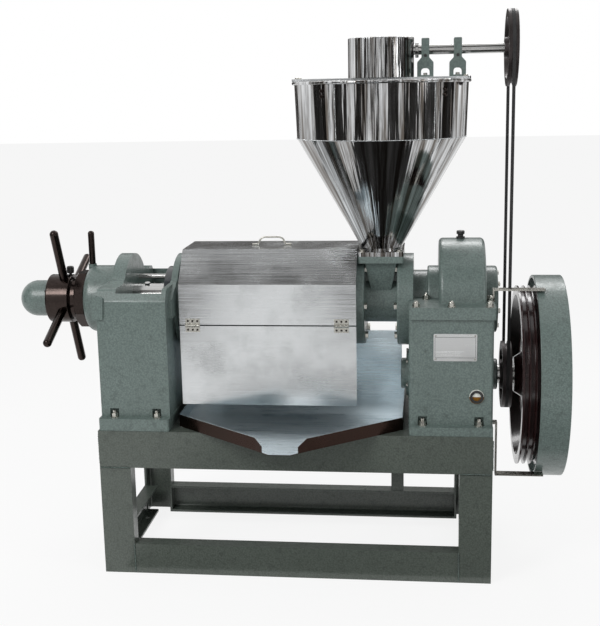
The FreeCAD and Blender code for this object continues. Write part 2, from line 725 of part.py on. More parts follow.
def lock_rod():
    """Upright rod that clamps the housing, screwed into its shoulder."""
    low = lock_boss_z() - LOCK_ROD_SOCKET
    tip = SHAFT_Z + LOCK_ROD_TIP
    return turned_z([(0, low), (LOCK_ROD_RADIUS, low), (LOCK_ROD_RADIUS, tip), (0, tip)], lock_rod_x(),
                    [0, 0, LOCK_ROD_RADIUS * 0.85, 0])


def build_adjuster():
    save("thrust_housing", thrust_housing())
    save("locknut", locknut())
    save("lever_hub", lever_hub())
    save("hub_levers", *[hub_lever(angle) for angle in lever_angles()])
    save("end_cap", end_cap())
    save("thumb_screw", thumb_screw())
    save("adjusting_screw", adjusting_screw())
    save("tie_bars", tie_bar(1), tie_bar(-1))
    save("choke_ring", choke_ring())
    save("lock_rod", lock_rod())


# ---------------------------------------------------------------- main shaft and worms
def helical_flight(radius, core, pitch, turns, x0, thick):
    """One flight wound about the shaft line, sunk 2 mm into its hub."""
    path = Part.makeHelix(pitch, pitch * turns, core, 0)
    depth = radius - core
    root = core - 2.0
    crest = thick * 0.55
    profile = Part.Wire(Part.makePolygon([Vector(root, 0, -thick / 2), Vector(core + depth, 0, -crest / 2),
                                          Vector(core + depth, 0, crest / 2), Vector(root, 0, thick / 2),
                                          Vector(root, 0, -thick / 2)]).Edges)
    flight = Part.Wire(path.Edges).makePipeShell([profile], True, True)
    flight.rotate(Vector(0, 0, 0), Y_AXIS, 90)
    flight.translate(Vector(x0, 0, SHAFT_Z))
    return flight


def worm(x0, length, hub, next_hub, turns, lead, thick=FLIGHT_THICK):
    """Worm sleeve on the shaft: a hub that thickens towards the cake end and its flight."""
    sleeve = turned_x([(x0, SPINE_RADIUS + RUN), (x0, next_hub), (x0 + length, hub),
                       (x0 + length, SPINE_RADIUS + RUN)])
    start = x0 + thick / 2 + 1
    flight = helical_flight(WORM_RADIUS, min(hub, next_hub), lead, turns, start, thick)
    return sleeve.fuse(about_shaft(flight, lead)).Solids[0]


def worm_string():
    """Feed worm under the throat, then pressing worms split by taper rings, towards the cake end."""
    pieces = []
    feed_right = THROAT_RIGHT - 8.0
    feed_length = THROAT_LENGTH + 20.0
    x = feed_right - feed_length
    turns = (feed_length - FLIGHT_THICK - 2) / FEED_PITCH
    pieces.append(worm(x, feed_length, WORM_HUBS[0] - 2, WORM_HUBS[0], turns, FEED_PITCH))
    for i, length in enumerate(WORM_LENGTHS):
        hub = WORM_HUBS[i]
        ring = turned_x([(x - WORM_GAP, SPINE_RADIUS + RUN), (x - WORM_GAP, hub), (x - WORM_GAP / 2, hub + 7),
                         (x, hub), (x, SPINE_RADIUS + RUN)])
        pieces.append(ring)
        x = x - WORM_GAP - length
        pieces.append(worm(x, length, hub, hub + 2, 1.0, length - FLIGHT_THICK - 2))
    last = WORM_HUBS[-1] + 2
    cone = turned_x([(choke_left() + 4, SPINE_RADIUS + RUN), (choke_left() + 4, JOURNAL_RADIUS),
                     (CAGE_LEFT - 4, CHOKE_BORE - 6), (x, last), (x, SPINE_RADIUS + RUN)])
    pieces.append(cone)
    return pieces


def main_shaft():
    """Stepped shaft from the thrust housing to the gearbox."""
    neck = choke_left() + 4
    profile = [(PEDESTAL_LEFT + 4, 0), (PEDESTAL_LEFT + 4, JOURNAL_RADIUS), (neck, JOURNAL_RADIUS),
               (neck, SPINE_RADIUS), (THROAT_RIGHT - 8, SPINE_RADIUS), (THROAT_RIGHT - 8, DRIVE_RADIUS),
               (CASE_RIGHT + END_BOSS - 12, DRIVE_RADIUS), (CASE_RIGHT + END_BOSS - 12, 0)]
    shaft = turned_x(profile, radii=[0, 3.0, 0, 0, 0, 2.0, 3.0, 0])
    key_x = PEDESTAL_LEFT + END_WALL + 44
    key = rod_z(9.0, SHAFT_Z + JOURNAL_RADIUS - 8, SHAFT_Z + JOURNAL_RADIUS + 6, key_x, 0)
    return fuse(shaft, about_shaft(key, -12))


def spur_gear(teeth, x0, width, z, bore, phase):
    """Straight-toothed gear with trapezoid flanks and room for running clearance."""
    pitch_radius = GEAR_MODULE * teeth / 2
    tip = pitch_radius + GEAR_MODULE * 0.92
    root = pitch_radius - GEAR_MODULE * 1.2
    step = 2 * math.pi / teeth
    points = []
    for i in range(teeth):
        middle = step * i + phase
        for radius, share in ((root, -0.36), (tip, -0.115), (tip, 0.115), (root, 0.36)):
            angle = middle + share * step
            points.append((radius * math.sin(angle), z + radius * math.cos(angle)))
    blank = slab_x(points, x0, x0 + width)
    return cut(blank, rod_x(bore, x0 - 1, x0 + width + 1, 0, z))


def main_gear():
    """Large gear with lightening holes, one tooth gap straight down at the pinion."""
    gear = spur_gear(GEAR_TEETH, GEAR_X, GEAR_FACE, SHAFT_Z, DRIVE_RADIUS + RUN, math.pi / GEAR_TEETH)
    holes = []
    for i in range(6):
        hole = rod_x(26.0, GEAR_X - 1, GEAR_X + GEAR_FACE + 1, 0, SHAFT_Z + 108)
        holes.append(about_shaft(hole, 60.0 * i))
    return cut(gear, *holes)


def build_shafts():
    save("main_shaft", main_shaft())
    save("worm_string", *worm_string())
    save("main_gear", main_gear())


# ---------------------------------------------------------------- press cage
def cage_bar(index):
    """One wedge-shaped bar of the pressing chamber; the slots between bars let the oil out."""
    step = 360.0 / BAR_COUNT
    inner_half = BAR_INNER * math.tan(math.radians(step / 2)) - BAR_SLOT / 2
    outer = BAR_INNER + BAR_DEPTH
    outer_half = outer * math.tan(math.radians(step / 2)) - BAR_SLOT
    x0 = CAGE_LEFT + CAGE_FLANGE / 2
    x1 = CAGE_RIGHT - CAGE_FLANGE / 2
    bar = slab_x([(-inner_half, SHAFT_Z + BAR_INNER), (inner_half, SHAFT_Z + BAR_INNER),
                  (outer_half, SHAFT_Z + outer), (-outer_half, SHAFT_Z + outer)], x0, x1)
    return about_shaft(bar, step * (index + 0.5))


def cage_half(side):
    """Half cage: end flanges, bearing ribs and the seam flange with its bolt holes."""
    bore = (BAR_INNER + BAR_DEPTH) / math.cos(math.pi / BAR_COUNT) + 0.2
    pieces = [rod_x(CAGE_RADIUS, CAGE_LEFT, CAGE_LEFT + CAGE_FLANGE),
              rod_x(CAGE_RADIUS, CAGE_RIGHT - CAGE_FLANGE, CAGE_RIGHT)]
    inner_length = CAGE_LENGTH - 2 * CAGE_FLANGE
    for i in range(RIB_COUNT):
        middle = CAGE_LEFT + CAGE_FLANGE + inner_length * (i + 0.5) / RIB_COUNT
        pieces.append(rod_x(RIB_RADIUS, middle - RIB_THICK / 2, middle + RIB_THICK / 2))
    z0, z1 = sorted((SHAFT_Z, SHAFT_Z + side * SEAM_THICK))
    for y0, y1 in ((-SEAM_REACH, -bore - 2), (bore + 2, SEAM_REACH)):
        pieces.append(box(CAGE_LEFT, CAGE_RIGHT, y0, y1, z0, z1))
    spine_z = sorted((SHAFT_Z + side * (bore + 2), SHAFT_Z + side * RIB_RADIUS * 0.98))
    pieces.append(box(CAGE_LEFT, CAGE_RIGHT, -8, 8, spine_z[0], spine_z[1]))
    whole = fuse(*pieces)
    half_room = box(CAGE_LEFT - 1, CAGE_RIGHT + 1, -200, 200, *sorted((SHAFT_Z, SHAFT_Z + side * 200)))
    ends = rod_x(BAR_INNER + 1.0, CAGE_LEFT - 1, CAGE_RIGHT + 1)
    seat = rod_x(bore, CAGE_LEFT + CAGE_FLANGE / 2, CAGE_RIGHT - CAGE_FLANGE / 2)
    holes = [rod_z(7.0, SHAFT_Z - 40, SHAFT_Z + 40, x, y) for x, y in seam_places()]
    return cut(whole.common(half_room), ends, seat, *holes)


def seam_places():
    inner_length = CAGE_LENGTH - 2 * CAGE_FLANGE
    columns = [CAGE_LEFT + CAGE_FLANGE + inner_length * (i + 1) / RIB_COUNT for i in range(RIB_COUNT - 1)]
    return [(x, y) for x in columns for y in (-SEAM_REACH + 18, SEAM_REACH - 18)]


def seam_bolt(x, y):
    """Bolt through both seam flanges."""
    low = SHAFT_Z - SEAM_THICK
    high = SHAFT_Z + SEAM_THICK
    return fuse(rod_z(6.5, low - 14, high + 1, x, y), hexagon(x, y, high, 9, 21.0),
                hexagon(x, y, low - 11, 11, 21.0))


def build_cage():
    save("cage_bars", *[cage_bar(i) for i in range(BAR_COUNT)])
    save("cage_upper", cage_half(1))
    save("cage_lower", cage_half(-1))
    save("cage_bolts", *[seam_bolt(x, y) for x, y in seam_places()])


# ---------------------------------------------------------------- feed throat
def funnel(top, low, z_top, z_low, grow=0.0):
    """Loft between two centred rectangles."""
    wires = []
    for (sx, sy), z in ((low, z_low), (top, z_top)):
        hx = sx / 2 + grow
        hy = sy / 2 + grow
        corners = [Vector(MOUTH_X + u * hx, v * hy, z) for u, v in ((-1, -1), (1, -1), (1, 1), (-1, 1))]
        wires.append(Part.makePolygon(corners + [corners[0]]))
    return Part.makeLoft(wires, True, True)


def feed_throat():
    """Cast throat: barrel between two round flanges, funnel mouth and square hopper flange."""
    left = THROAT_LEFT
    right = THROAT_RIGHT
    low_z = SHAFT_Z + 35
    barrel = rod_x(THROAT_BARREL, left, right)
    flange_left = turned_x([(left, 0), (left, THROAT_FLANGE_RADIUS), (left + THROAT_LEFT_FLANGE, THROAT_FLANGE_RADIUS),
                            (left + THROAT_LEFT_FLANGE, 0)], radii=[0, 0, 6.0, 0])
    flange_right = turned_x([(right - THROAT_RIGHT_FLANGE, 0), (right - THROAT_RIGHT_FLANGE, CASE_FLANGE_RADIUS),
                             (right, CASE_FLANGE_RADIUS), (right, 0)], radii=[0, 6.0, 0, 0])
    mouth = funnel(MOUTH_TOP, MOUTH_LOW, SQUARE_Z + 1, low_z)
    web = box(left + 2, right - 2, -MOUTH_LOW[1] * 0.3, MOUTH_LOW[1] * 0.3, SHAFT_Z, SQUARE_Z + 1)
    half = SQUARE_FLANGE / 2
    square = slab_z(rectangle(MOUTH_X - half, MOUTH_X + half, -MOUTH_TOP[1] / 2 - 14, MOUTH_TOP[1] / 2 + 14),
                    SQUARE_Z, SQUARE_Z + SQUARE_THICK, 8.0)
    body = fuse(barrel, flange_left, flange_right, mouth, web, square)
    inner_top = (MOUTH_TOP[0] - 2 * MOUTH_WALL, MOUTH_TOP[1] - 2 * MOUTH_WALL)
    inner_low = (MOUTH_LOW[0] - MOUTH_WALL, MOUTH_LOW[1] - 2 * MOUTH_WALL)
    inside = funnel(inner_top, inner_low, SQUARE_Z + SQUARE_THICK + 1, SHAFT_Z + 10)
    return cut(body, inside, rod_x(THROAT_BORE, left - 1, right - 7),
               rod_x(DRIVE_RADIUS + RUN, right - 8, right + 1))


def flange_bolt_places(radius, count, first):
    return [first + 360.0 * i / count for i in range(count)]


def flange_bolt(x0, x1, angle, radius, head):
    """Bolt along the shaft line at one angle; head on the x0 side when head is -1."""
    shank = rod_x(7.0, x0, x1, 0, SHAFT_Z + radius)
    points = []
    for i in range(6):
        turn = math.radians(60 * i)
        points.append((12.0 * math.cos(turn), SHAFT_Z + radius + 12.0 * math.sin(turn)))
    start = x0 - 9 if head < 0 else x1
    cap = slab_x(points, start, start + 9)
    return about_shaft(fuse(shank, cap), angle)


def throat_bolts():
    """Screws that hold the throat to the cage and to the gearbox, heads between the flanges."""
    bolts = []
    circle = (THROAT_BARREL + THROAT_FLANGE_RADIUS) / 2 + 14
    for angle in flange_bolt_places(circle, 6, 30.0):
        x = THROAT_LEFT + THROAT_LEFT_FLANGE
        bolts.append(flange_bolt(x - 12, x, angle, circle, 1))
        x = THROAT_RIGHT - THROAT_RIGHT_FLANGE
        bolts.append(flange_bolt(x, x + 12, angle, circle, -1))
    return bolts


def build_throat():
    bolts = throat_bolts()
    throat = feed_throat()
    save("feed_throat", cut(throat, *bolts))
    save("throat_bolts", *bolts)


# ---------------------------------------------------------------- hopper
def hopper():
    """Spun cone and band with a rolled rim, on a square flange."""
    sheet = HOPPER_SHEET
    neck = HOPPER_NECK
    profile = [(neck - sheet, HOPPER_Z), (neck, HOPPER_Z), (neck, CONE_Z), (HOPPER_LOWER, BAND_Z),
               (HOPPER_UPPER, RIM_Z), (HOPPER_UPPER - sheet, RIM_Z), (HOPPER_LOWER - sheet, BAND_Z + 1),
               (neck - sheet, CONE_Z + 1)]
    shell = turned_z(profile, MOUTH_X)
    rim = Part.makeTorus(HOPPER_UPPER + RIM_RADIUS - sheet, RIM_RADIUS, Vector(MOUTH_X, 0, RIM_Z))
    half = SQUARE_FLANGE / 2
    square = slab_z(rectangle(MOUTH_X - half, MOUTH_X + half, -MOUTH_TOP[1] / 2 - 14, MOUTH_TOP[1] / 2 + 14),
                    HOPPER_Z, HOPPER_Z + HOPPER_FLANGE - 5, 8.0)
    square = cut(square, rod_z(neck - 1, HOPPER_Z - 1, CONE_Z, MOUTH_X, 0))
    return fuse(shell, rim, square)


def hopper_bridge():
    """Flat bar across the rim with the stirrer's bearing boss and a foot at each end."""
    reach = HOPPER_UPPER + RIM_RADIUS
    bar = slab_z(rectangle(MOUTH_X - reach, MOUTH_X + reach, -BRIDGE_WIDTH / 2, BRIDGE_WIDTH / 2),
                 BRIDGE_Z, DECK_Z, 10.0)
    boss = rod_z(30.0, BRIDGE_Z - 26, DECK_Z, MOUTH_X, 0)
    return cut(fuse(bar, boss), rod_z(STIR_RADIUS + RUN, BRIDGE_Z - 30, DECK_Z + 1, MOUTH_X, 0))


def gear_can():
    """Sheet cover over the bevel gears, open below, with a slot for the feed shaft."""
    z1 = DECK_Z + CAN_HEIGHT
    sheet = CAN_SHEET
    can = turned_z([(CAN_RADIUS - sheet, DECK_Z), (CAN_RADIUS, DECK_Z), (CAN_RADIUS, z1), (0, z1),
                    (0, z1 - sheet), (CAN_RADIUS - sheet, z1 - sheet)], MOUTH_X, [0, 0, 3.0, 0, 0, 0])
    return cut(can, rod_x(FEED_SHAFT_RADIUS + 2, MOUTH_X, MOUTH_X + CAN_RADIUS + 5, 0, FEED_Z))


def bearing_stand(x):
    """Forked pedestal bearing of the feed shaft, astride a rounded gap."""
    base = STAND_BASE / 2
    stem = STAND_STEM / 2
    shoulder = DECK_Z + 52
    top = FEED_Z + 34
    points = [(x - base, DECK_Z), (x - base + 12, DECK_Z), (x - base + 12, DECK_Z + 26), (x + base - 12, DECK_Z + 26),
              (x + base - 12, DECK_Z), (x + base, DECK_Z), (x + base, shoulder - 8), (x + stem, shoulder + 6),
              (x + stem, top), (x - stem, top), (x - stem, shoulder + 6), (x - base, shoulder - 8)]
    fork = slab_y(points, -STAND_DEPTH / 2, STAND_DEPTH / 2, [0, 0, 10.0, 10.0, 0, 0, 8.0, 4.0, 3.0, 3.0, 4.0, 8.0])
    tie = box(x - base, x + base, -STAND_DEPTH / 2, STAND_DEPTH / 2, DECK_Z, DECK_Z + 5)
    return cut(fuse(fork, tie), rod_x(FEED_SHAFT_RADIUS + RUN, x - base - 1, x + base + 1, 0, FEED_Z))


def feed_shaft():
    """Feed shaft with the thrust collar by the can."""
    x0 = MOUTH_X + BEVEL_RADIUS - BEVEL_FACE
    x1 = BELT_X + PULLEY_WIDTH / 2 + 8
    collar_x = MOUTH_X + CAN_RADIUS + 4
    shaft = rod_x(FEED_SHAFT_RADIUS, x0, x1, 0, FEED_Z)
    collar = turned_x([(collar_x, 0), (collar_x, FEED_SHAFT_RADIUS + 9), (collar_x + 10, FEED_SHAFT_RADIUS + 9),
                       (collar_x + 10, 0)], FEED_Z, [0, 1.5, 1.5, 0])
    return fuse(shaft, collar)


def bevel_gear(phase):
    """Mitre gear on the upright line, apex at the origin, teeth upwards."""
    back = BEVEL_RADIUS
    front = BEVEL_RADIUS - BEVEL_FACE
    gap = 3.2
    blank = turned_local([(0, -back - 8), (back - gap - 2, -back - 8), (back - gap, -back - gap),
                          (front - gap, -front - gap), (0, -front - gap)])
    teeth = []
    step = 360.0 / BEVEL_TEETH
    for i in range(BEVEL_TEETH):
        wires = []
        for radius in (front, back):
            wide = radius * math.radians(step) * 0.32
            slim = wide * 0.45
            rise = gap * 0.8 * radius / back
            corners = [Vector(radius - gap - 1, -wide, -radius - gap - 1), Vector(radius + rise, -slim, -radius + rise),
                       Vector(radius + rise, slim, -radius + rise), Vector(radius - gap - 1, wide, -radius - gap - 1)]
            wires.append(Part.makePolygon(corners + [corners[0]]))
        tooth = Part.makeLoft(wires, True, True)
        tooth.rotate(Vector(0, 0, 0), Z_AXIS, step * i + phase)
        teeth.append(tooth)
    return fuse(blank, *teeth)


def turned_local(profile):
    corners = [Vector(r, 0, z) for r, z in profile]
    return Part.Face(Part.makePolygon(corners + [corners[0]])).revolve(Vector(0, 0, 0), Z_AXIS, 360)


def bevel_crown():
    """Bevel gear on the stirrer."""
    gear = moved(bevel_gear(0.0), MOUTH_X, 0, FEED_Z)
    return cut(gear, rod_z(STIR_RADIUS + RUN, FEED_Z - 100, FEED_Z, MOUTH_X, 0))


def bevel_wheel():
    """Bevel gear on the feed shaft, half a tooth round from the crown."""
    gear = bevel_gear(180.0 / BEVEL_TEETH)
    gear.rotate(Vector(0, 0, 0), Y_AXIS, -90)
    gear = moved(gear, MOUTH_X, 0, FEED_Z)
    return cut(gear, rod_x(FEED_SHAFT_RADIUS + RUN, MOUTH_X, MOUTH_X + 100, 0, FEED_Z))


def stirrer():
    """Upright shaft with an auger in the neck and two arms in the cone."""
    low = HOPPER_Z + 6
    top = FEED_Z - BEVEL_RADIUS + BEVEL_FACE - 6
    shaft = rod_z(STIR_RADIUS, low - 34, top, MOUTH_X, 0)
    pitch = 62.0
    path = Part.makeHelix(pitch, pitch * 1.4, STIR_RADIUS, 0)
    profile = Part.makePolygon([Vector(STIR_RADIUS - 2, 0, -4), Vector(AUGER_RADIUS, 0, -2),
                                Vector(AUGER_RADIUS, 0, 2), Vector(STIR_RADIUS - 2, 0, 4),
                                Vector(STIR_RADIUS - 2, 0, -4)])
    flight = Part.Wire(path.Edges).makePipeShell([profile], True, True)
    flight.translate(Vector(MOUTH_X, 0, low + 8))
    arms = []
    for turn, base, reach in ((20.0, CONE_Z + 120, 120.0), (200.0, CONE_Z + 190, 165.0)):
        arm = Part.makeCylinder(7.0, reach, Vector(0, 0, 0), Vector(1, 0, 0.55))
        arm.rotate(Vector(0, 0, 0), Z_AXIS, turn)
        arms.append(moved(arm, MOUTH_X, 0, base))
    return fuse(shaft, flight, *arms)


def build_hopper():
    save("hopper", hopper())
    save("hopper_bridge", hopper_bridge())
    save("gear_can", gear_can())
    save("bearing_stand_inner", bearing_stand(MOUTH_X + STAND_OFFSETS[0]))
    save("bearing_stand_outer", bearing_stand(MOUTH_X + STAND_OFFSETS[1]))
    save("feed_shaft", feed_shaft())
    save("bevel_wheel", bevel_wheel())
    save("bevel_crown", bevel_crown())
    save("stirrer", stirrer())


# ---------------------------------------------------------------- feed belt
def belt_pulley(radius, z, bore, hub, hub_reach):
    """V pulley with one groove, dished web and a hub."""
    x0 = BELT_X - PULLEY_WIDTH / 2
    x1 = BELT_X + PULLEY_WIDTH / 2
    top = BELT_TOP / 2 + AIR
    low = BELT_BASE / 2 + AIR
    floor = radius - BELT_HEIGHT - 3
    rim_in = radius - 24
    web0 = BELT_X - 5
    web1 = BELT_X + 5
    profile = [(x0, rim_in), (x0, radius), (BELT_X - top, radius), (BELT_X - low, floor), (BELT_X + low, floor),
               (BELT_X + top, radius), (x1, radius), (x1, rim_in), (web1, rim_in - 5), (web1, hub + 3),
               (BELT_X + hub_reach, hub), (BELT_X + hub_reach, bore), (BELT_X - hub_reach, bore),
               (BELT_X - hub_reach, hub), (web0, hub + 3), (web0, rim_in - 5)]
    return turned_x(profile, z)


def feed_belt():
    """V belt: two arcs round the pulleys and the two straight runs tangent to both."""
    distance = FEED_Z - INPUT_Z
    lean = math.asin((UPPER_PULLEY - LOWER_PULLEY) / distance)
    pieces = []
    for radius, z, upper in ((UPPER_PULLEY, FEED_Z, True), (LOWER_PULLEY, INPUT_Z, False)):
        top = BELT_TOP / 2
        low = BELT_BASE / 2
        section = [(-low, radius - BELT_HEIGHT), (low, radius - BELT_HEIGHT), (top, radius), (-top, radius)]
        corners = [Vector(BELT_X + u, 0, z + v) for u, v in section]
        face = Part.Face(Part.makePolygon(corners + [corners[0]]))
        side = 90.0 + math.degrees(lean) if upper else 90.0 - math.degrees(lean)
        start = -side if upper else 180.0 - side
        face.rotate(Vector(0, 0, z), X_AXIS, -start)
        pieces.append(face.revolve(Vector(0, 0, z), X_AXIS, -2 * side))
        if upper:
            run = math.sqrt(distance ** 2 - (UPPER_PULLEY - LOWER_PULLEY) ** 2)
            for sign in (-1, 1):
                strand = Part.Face(Part.makePolygon(corners + [corners[0]]))
                strand.rotate(Vector(0, 0, z), X_AXIS, -sign * side)
                slope = Vector(0, -sign * math.sin(lean), -math.cos(lean))
                pieces.append(strand.extrude(slope * run))
    return fuse(*pieces)


def build_feed_belt():
    save("upper_pulley", belt_pulley(UPPER_PULLEY, FEED_Z, FEED_SHAFT_RADIUS + RUN, 30.0, 22.0))
    save("lower_pulley", belt_pulley(LOWER_PULLEY, INPUT_Z, INPUT_RADIUS + RUN, 46.0, 20.0))
    save("feed_belt", feed_belt())


# ---------------------------------------------------------------- gearbox
def gearbox_body():
    """Outside of the whole gearbox, case and cover together."""
    half = CASTING_DEPTH / 2
    foot = slab_z(rectangle(CASE_LEFT + 2, CASE_RIGHT, -FOOT_DEPTH / 2, FOOT_DEPTH / 2),
                  FRAME_TOP, FRAME_TOP + CASE_FOOT, 5.0)
    body = slab_z(rectangle(CASE_LEFT, CASE_RIGHT, -half, half), FRAME_TOP + 1, SHAFT_Z, 12.0)
    rim = slab_z(rectangle(CASE_LEFT, CASE_RIGHT + RIM_LIP / 2, -half - RIM_LIP, half + RIM_LIP),
                 SHAFT_Z - CASE_RIM, SHAFT_Z + SEAM_FLANGE, 8.0)
    hump_x = CASE_LEFT + HUMP_START
    hump = turned_x([(hump_x, 0), (hump_x, HUMP_RADIUS), (hump_x + HUMP_LENGTH, HUMP_RADIUS),
                     (hump_x + HUMP_LENGTH, 0)], radii=[0, 14.0, 14.0, 0])
    hump = hump.common(box(hump_x - 1, hump_x + HUMP_LENGTH + 1, -half, half, SHAFT_Z - 50, SHAFT_Z + 300))
    neck_x = hump_x - BOSS_LENGTH
    pieces = [rod_x(CASE_FLANGE_RADIUS, THROAT_RIGHT, THROAT_RIGHT + CASE_FLANGE),
              rod_x(NECK_RADIUS, THROAT_RIGHT, neck_x),
              turned_x([(neck_x, 0), (neck_x, BOSS_RADIUS), (hump_x + 2, BOSS_RADIUS), (hump_x + 2, 0)],
                       radii=[0, 6.0, 0, 0]),
              turned_x([(hump_x + HUMP_LENGTH - 2, 0), (hump_x + HUMP_LENGTH - 2, END_BOSS_RADIUS),
                        (CASE_RIGHT + END_BOSS, END_BOSS_RADIUS), (CASE_RIGHT + END_BOSS, 0)],
                       radii=[0, 0, 8.0, 0])]
    return fuse(body, foot, rim, hump, *pieces)


def gearbox_room():
    """Inside of the gearbox: gear room, sump and the shaft bores."""
    half = CASTING_DEPTH / 2 - CASE_WALL
    sump = box(CASE_LEFT + CASE_WALL, CASE_RIGHT - CASE_WALL, -half, half,
               FRAME_TOP + CASE_FOOT, SHAFT_Z - CASE_RIM - 20)
    hump_x = CASE_LEFT + HUMP_START
    gear_room = rod_x(HUMP_RADIUS - HUMP_WALL, hump_x + HUMP_WALL, hump_x + HUMP_LENGTH - HUMP_WALL)
    return [sump, gear_room,
            rod_x(DRIVE_RADIUS + RUN, THROAT_RIGHT - 1, CASE_RIGHT + END_BOSS - 11),
            rod_x(INPUT_RADIUS + RUN, CASE_LEFT - 30, CASE_RIGHT + 30, 0, INPUT_Z)]


def gearbox_halves():
    body = cut(gearbox_body(), *gearbox_room())
    far = 700.0
    upper = box(THROAT_RIGHT - 5, CASE_RIGHT + far, -far, far, SHAFT_Z, SHAFT_Z + far)
    cover = cut(body.common(upper), rod_z(9.0, SHAFT_Z + HUMP_RADIUS - 20, SHAFT_Z + HUMP_RADIUS + 5, plug_x(), 0))
    case = cut(body, upper, *stud_pockets(FRAME_TOP + CASE_FOOT), *stud_holes(FRAME_TOP - 1, FRAME_TOP + CASE_FOOT + 1))
    places = cover_bolt_places()
    holes = [rod_z(6.0 + RUN, SHAFT_Z - 30, SHAFT_Z + SEAM_FLANGE + 1, x, y) for x, y in places]
    glass = rod_y(GLASS_RADIUS - 4, -CASTING_DEPTH / 2 - 1, -CASTING_DEPTH / 2 + 6, glass_x(), glass_z())
    return cut(case, glass, *holes), cut(cover, *holes)


def plug_x():
    return CASE_LEFT + HUMP_START + HUMP_LENGTH * 0.48


def glass_x():
    return CASE_RIGHT - 50.0


def glass_z():
    return INPUT_Z - 4.0


def cover_bolt_places():
    y = CASTING_DEPTH / 2 - 9
    columns = [CASE_LEFT + 22, CASE_LEFT + CASE_LENGTH / 2, CASE_RIGHT - 14]
    places = [(x, s * y) for x in columns for s in (-1, 1)]
    places += [(CASE_LEFT + 52, s * (NECK_RADIUS + 26)) for s in (-1, 1)]
    places += [(CASE_RIGHT - 6, s * (END_BOSS_RADIUS + 52)) for s in (-1, 1)]
    return places


def cover_bolt(x, y):
    """Stud in the case with a cap nut on the cover flange."""
    z = SHAFT_Z + SEAM_FLANGE
    return fuse(rod_z(6.0, SHAFT_Z - 26, z + 12, x, y), rod_z(12.5, z, z + 2, x, y),
                hexagon(x, y, z + 2, 9, 19.0), Part.makeSphere(8.0, Vector(x, y, z + 11)))


def oil_plug():
    """Breather plug on the hump."""
    z = SHAFT_Z + HUMP_RADIUS
    low = z - HUMP_WALL
    return turned_z([(0, low), (8.9, low), (8.9, z), (14.0, z), (14.0, z + 5), (9.0, z + 6), (9.0, z + 12),
                     (13.0, z + 14), (13.0, z + 24), (0, z + 26)], plug_x(), [0, 0, 0, 0, 0, 0, 0, 2.0, 3.0, 0])


def sight_glass():
    """Ring and lens of the oil level sight."""
    y = -CASTING_DEPTH / 2
    ring = turned_local([(GLASS_RADIUS - 8, 0), (GLASS_RADIUS, 0), (GLASS_RADIUS, 5), (GLASS_RADIUS - 3, 8),
                         (GLASS_RADIUS - 8, 8)])
    ring.rotate(Vector(0, 0, 0), X_AXIS, 90)
    lens = turned_local([(0, -5), (GLASS_RADIUS - 8, -5), (GLASS_RADIUS - 8, 4), (0, 6)])
    lens.rotate(Vector(0, 0, 0), X_AXIS, 90)
    return moved(ring, glass_x(), y, glass_z()), moved(lens, glass_x(), y, glass_z())


def name_plate():
    """Bare rating plate."""
    width, height = PLATE_SIZE
    x = CASE_LEFT + CASE_LENGTH / 2 + 12
    z = SHAFT_Z - 100
    y = -CASTING_DEPTH / 2
    return slab_y(rectangle(x - width / 2, x + width / 2, z - height / 2, z + height / 2), y - 1.2, y, 4.0)


def input_cap(side):
    """Bearing cap of the input shaft: stepped disc and boss."""
    face = CASE_LEFT if side < 0 else CASE_RIGHT
    reach = 28.0 if side < 0 else 26.0
    bore = INPUT_RADIUS + RUN
    profile = [(face, bore), (face, CAP_DISC), (face + side * 6, CAP_DISC), (face + side * 6, CAP_DISC - 10),
               (face + side * 11, CAP_DISC - 10), (face + side * 11, INPUT_BOSS), (face + side * reach, INPUT_BOSS)]
    profile.append((face + side * reach, 0 if side < 0 else bore))
    if side < 0:
        profile.insert(0, (face - 20, 0))
        profile[0:2] = [(face - 18, 0), (face - 18, bore), (face, bore)]
    radii = [0.0] * len(profile)
    radii[-2] = 5.0
    return turned_x(profile, INPUT_Z, radii)


def input_shaft():
    """Input shaft with the pinion cut on it."""
    x0 = CASE_LEFT - 17
    x1 = RIM_X + RIM_WIDTH - 20
    shaft = rod_x(INPUT_RADIUS, x0, x1, 0, INPUT_Z)
    pinion = spur_gear(PINION_TEETH, GEAR_X - 3, GEAR_FACE + 6, INPUT_Z, INPUT_RADIUS - 1, 0.0)
    return fuse(shaft, pinion)


def build_gearbox():
    case, cover = gearbox_halves()
    save("gearbox_case", case)
    save("gearbox_cover", cover)
    save("cover_bolts", *[cover_bolt(x, y) for x, y in cover_bolt_places()])
    save("oil_plug", oil_plug())
    save("sight_glass", *sight_glass())
    save("name_plate", name_plate())
    save("input_caps", input_cap(-1), input_cap(1))
    save("input_shaft", input_shaft())


# ---------------------------------------------------------------- drive pulley and guard
def drive_pulley():
    """Grooved pulley with a dished web, hub and lightening holes."""
    x0 = RIM_X
    x1 = RIM_X + RIM_WIDTH
    radius = PULLEY_RADIUS
    first = (RIM_WIDTH - GROOVE_PITCH * (GROOVE_COUNT - 1)) / 2
    profile = [(x0, radius - 30), (x0, radius)]
    for i in range(GROOVE_COUNT):
        middle = x0 + first + GROOVE_PITCH * i
        profile += [(middle - 8, radius), (middle - 4.5, radius - 13), (middle + 4.5, radius - 13), (middle + 8, radius)]
    profile += [(x1, radius), (x1, radius - 30), (x0 + 46, radius - 36), (x0 + 34, 80), (x0 + 50, 56),
                (x1 - 22, 56), (x1 - 22, INPUT_RADIUS + RUN), (x0 - 6, INPUT_RADIUS + RUN), (x0 - 6, 56), (x0 + 20, 74),
                (x0 + 32, radius - 40)]
    wheel = turned_x(profile, INPUT_Z)
    holes = []
    for i in range(6):
        hole = rod_x(42.0, x0 - 5, x1 + 5, 0, INPUT_Z + 160)
        holes.append(about_shaft(hole, 60.0 * i + 12, INPUT_Z))
    return cut(wheel, *holes)


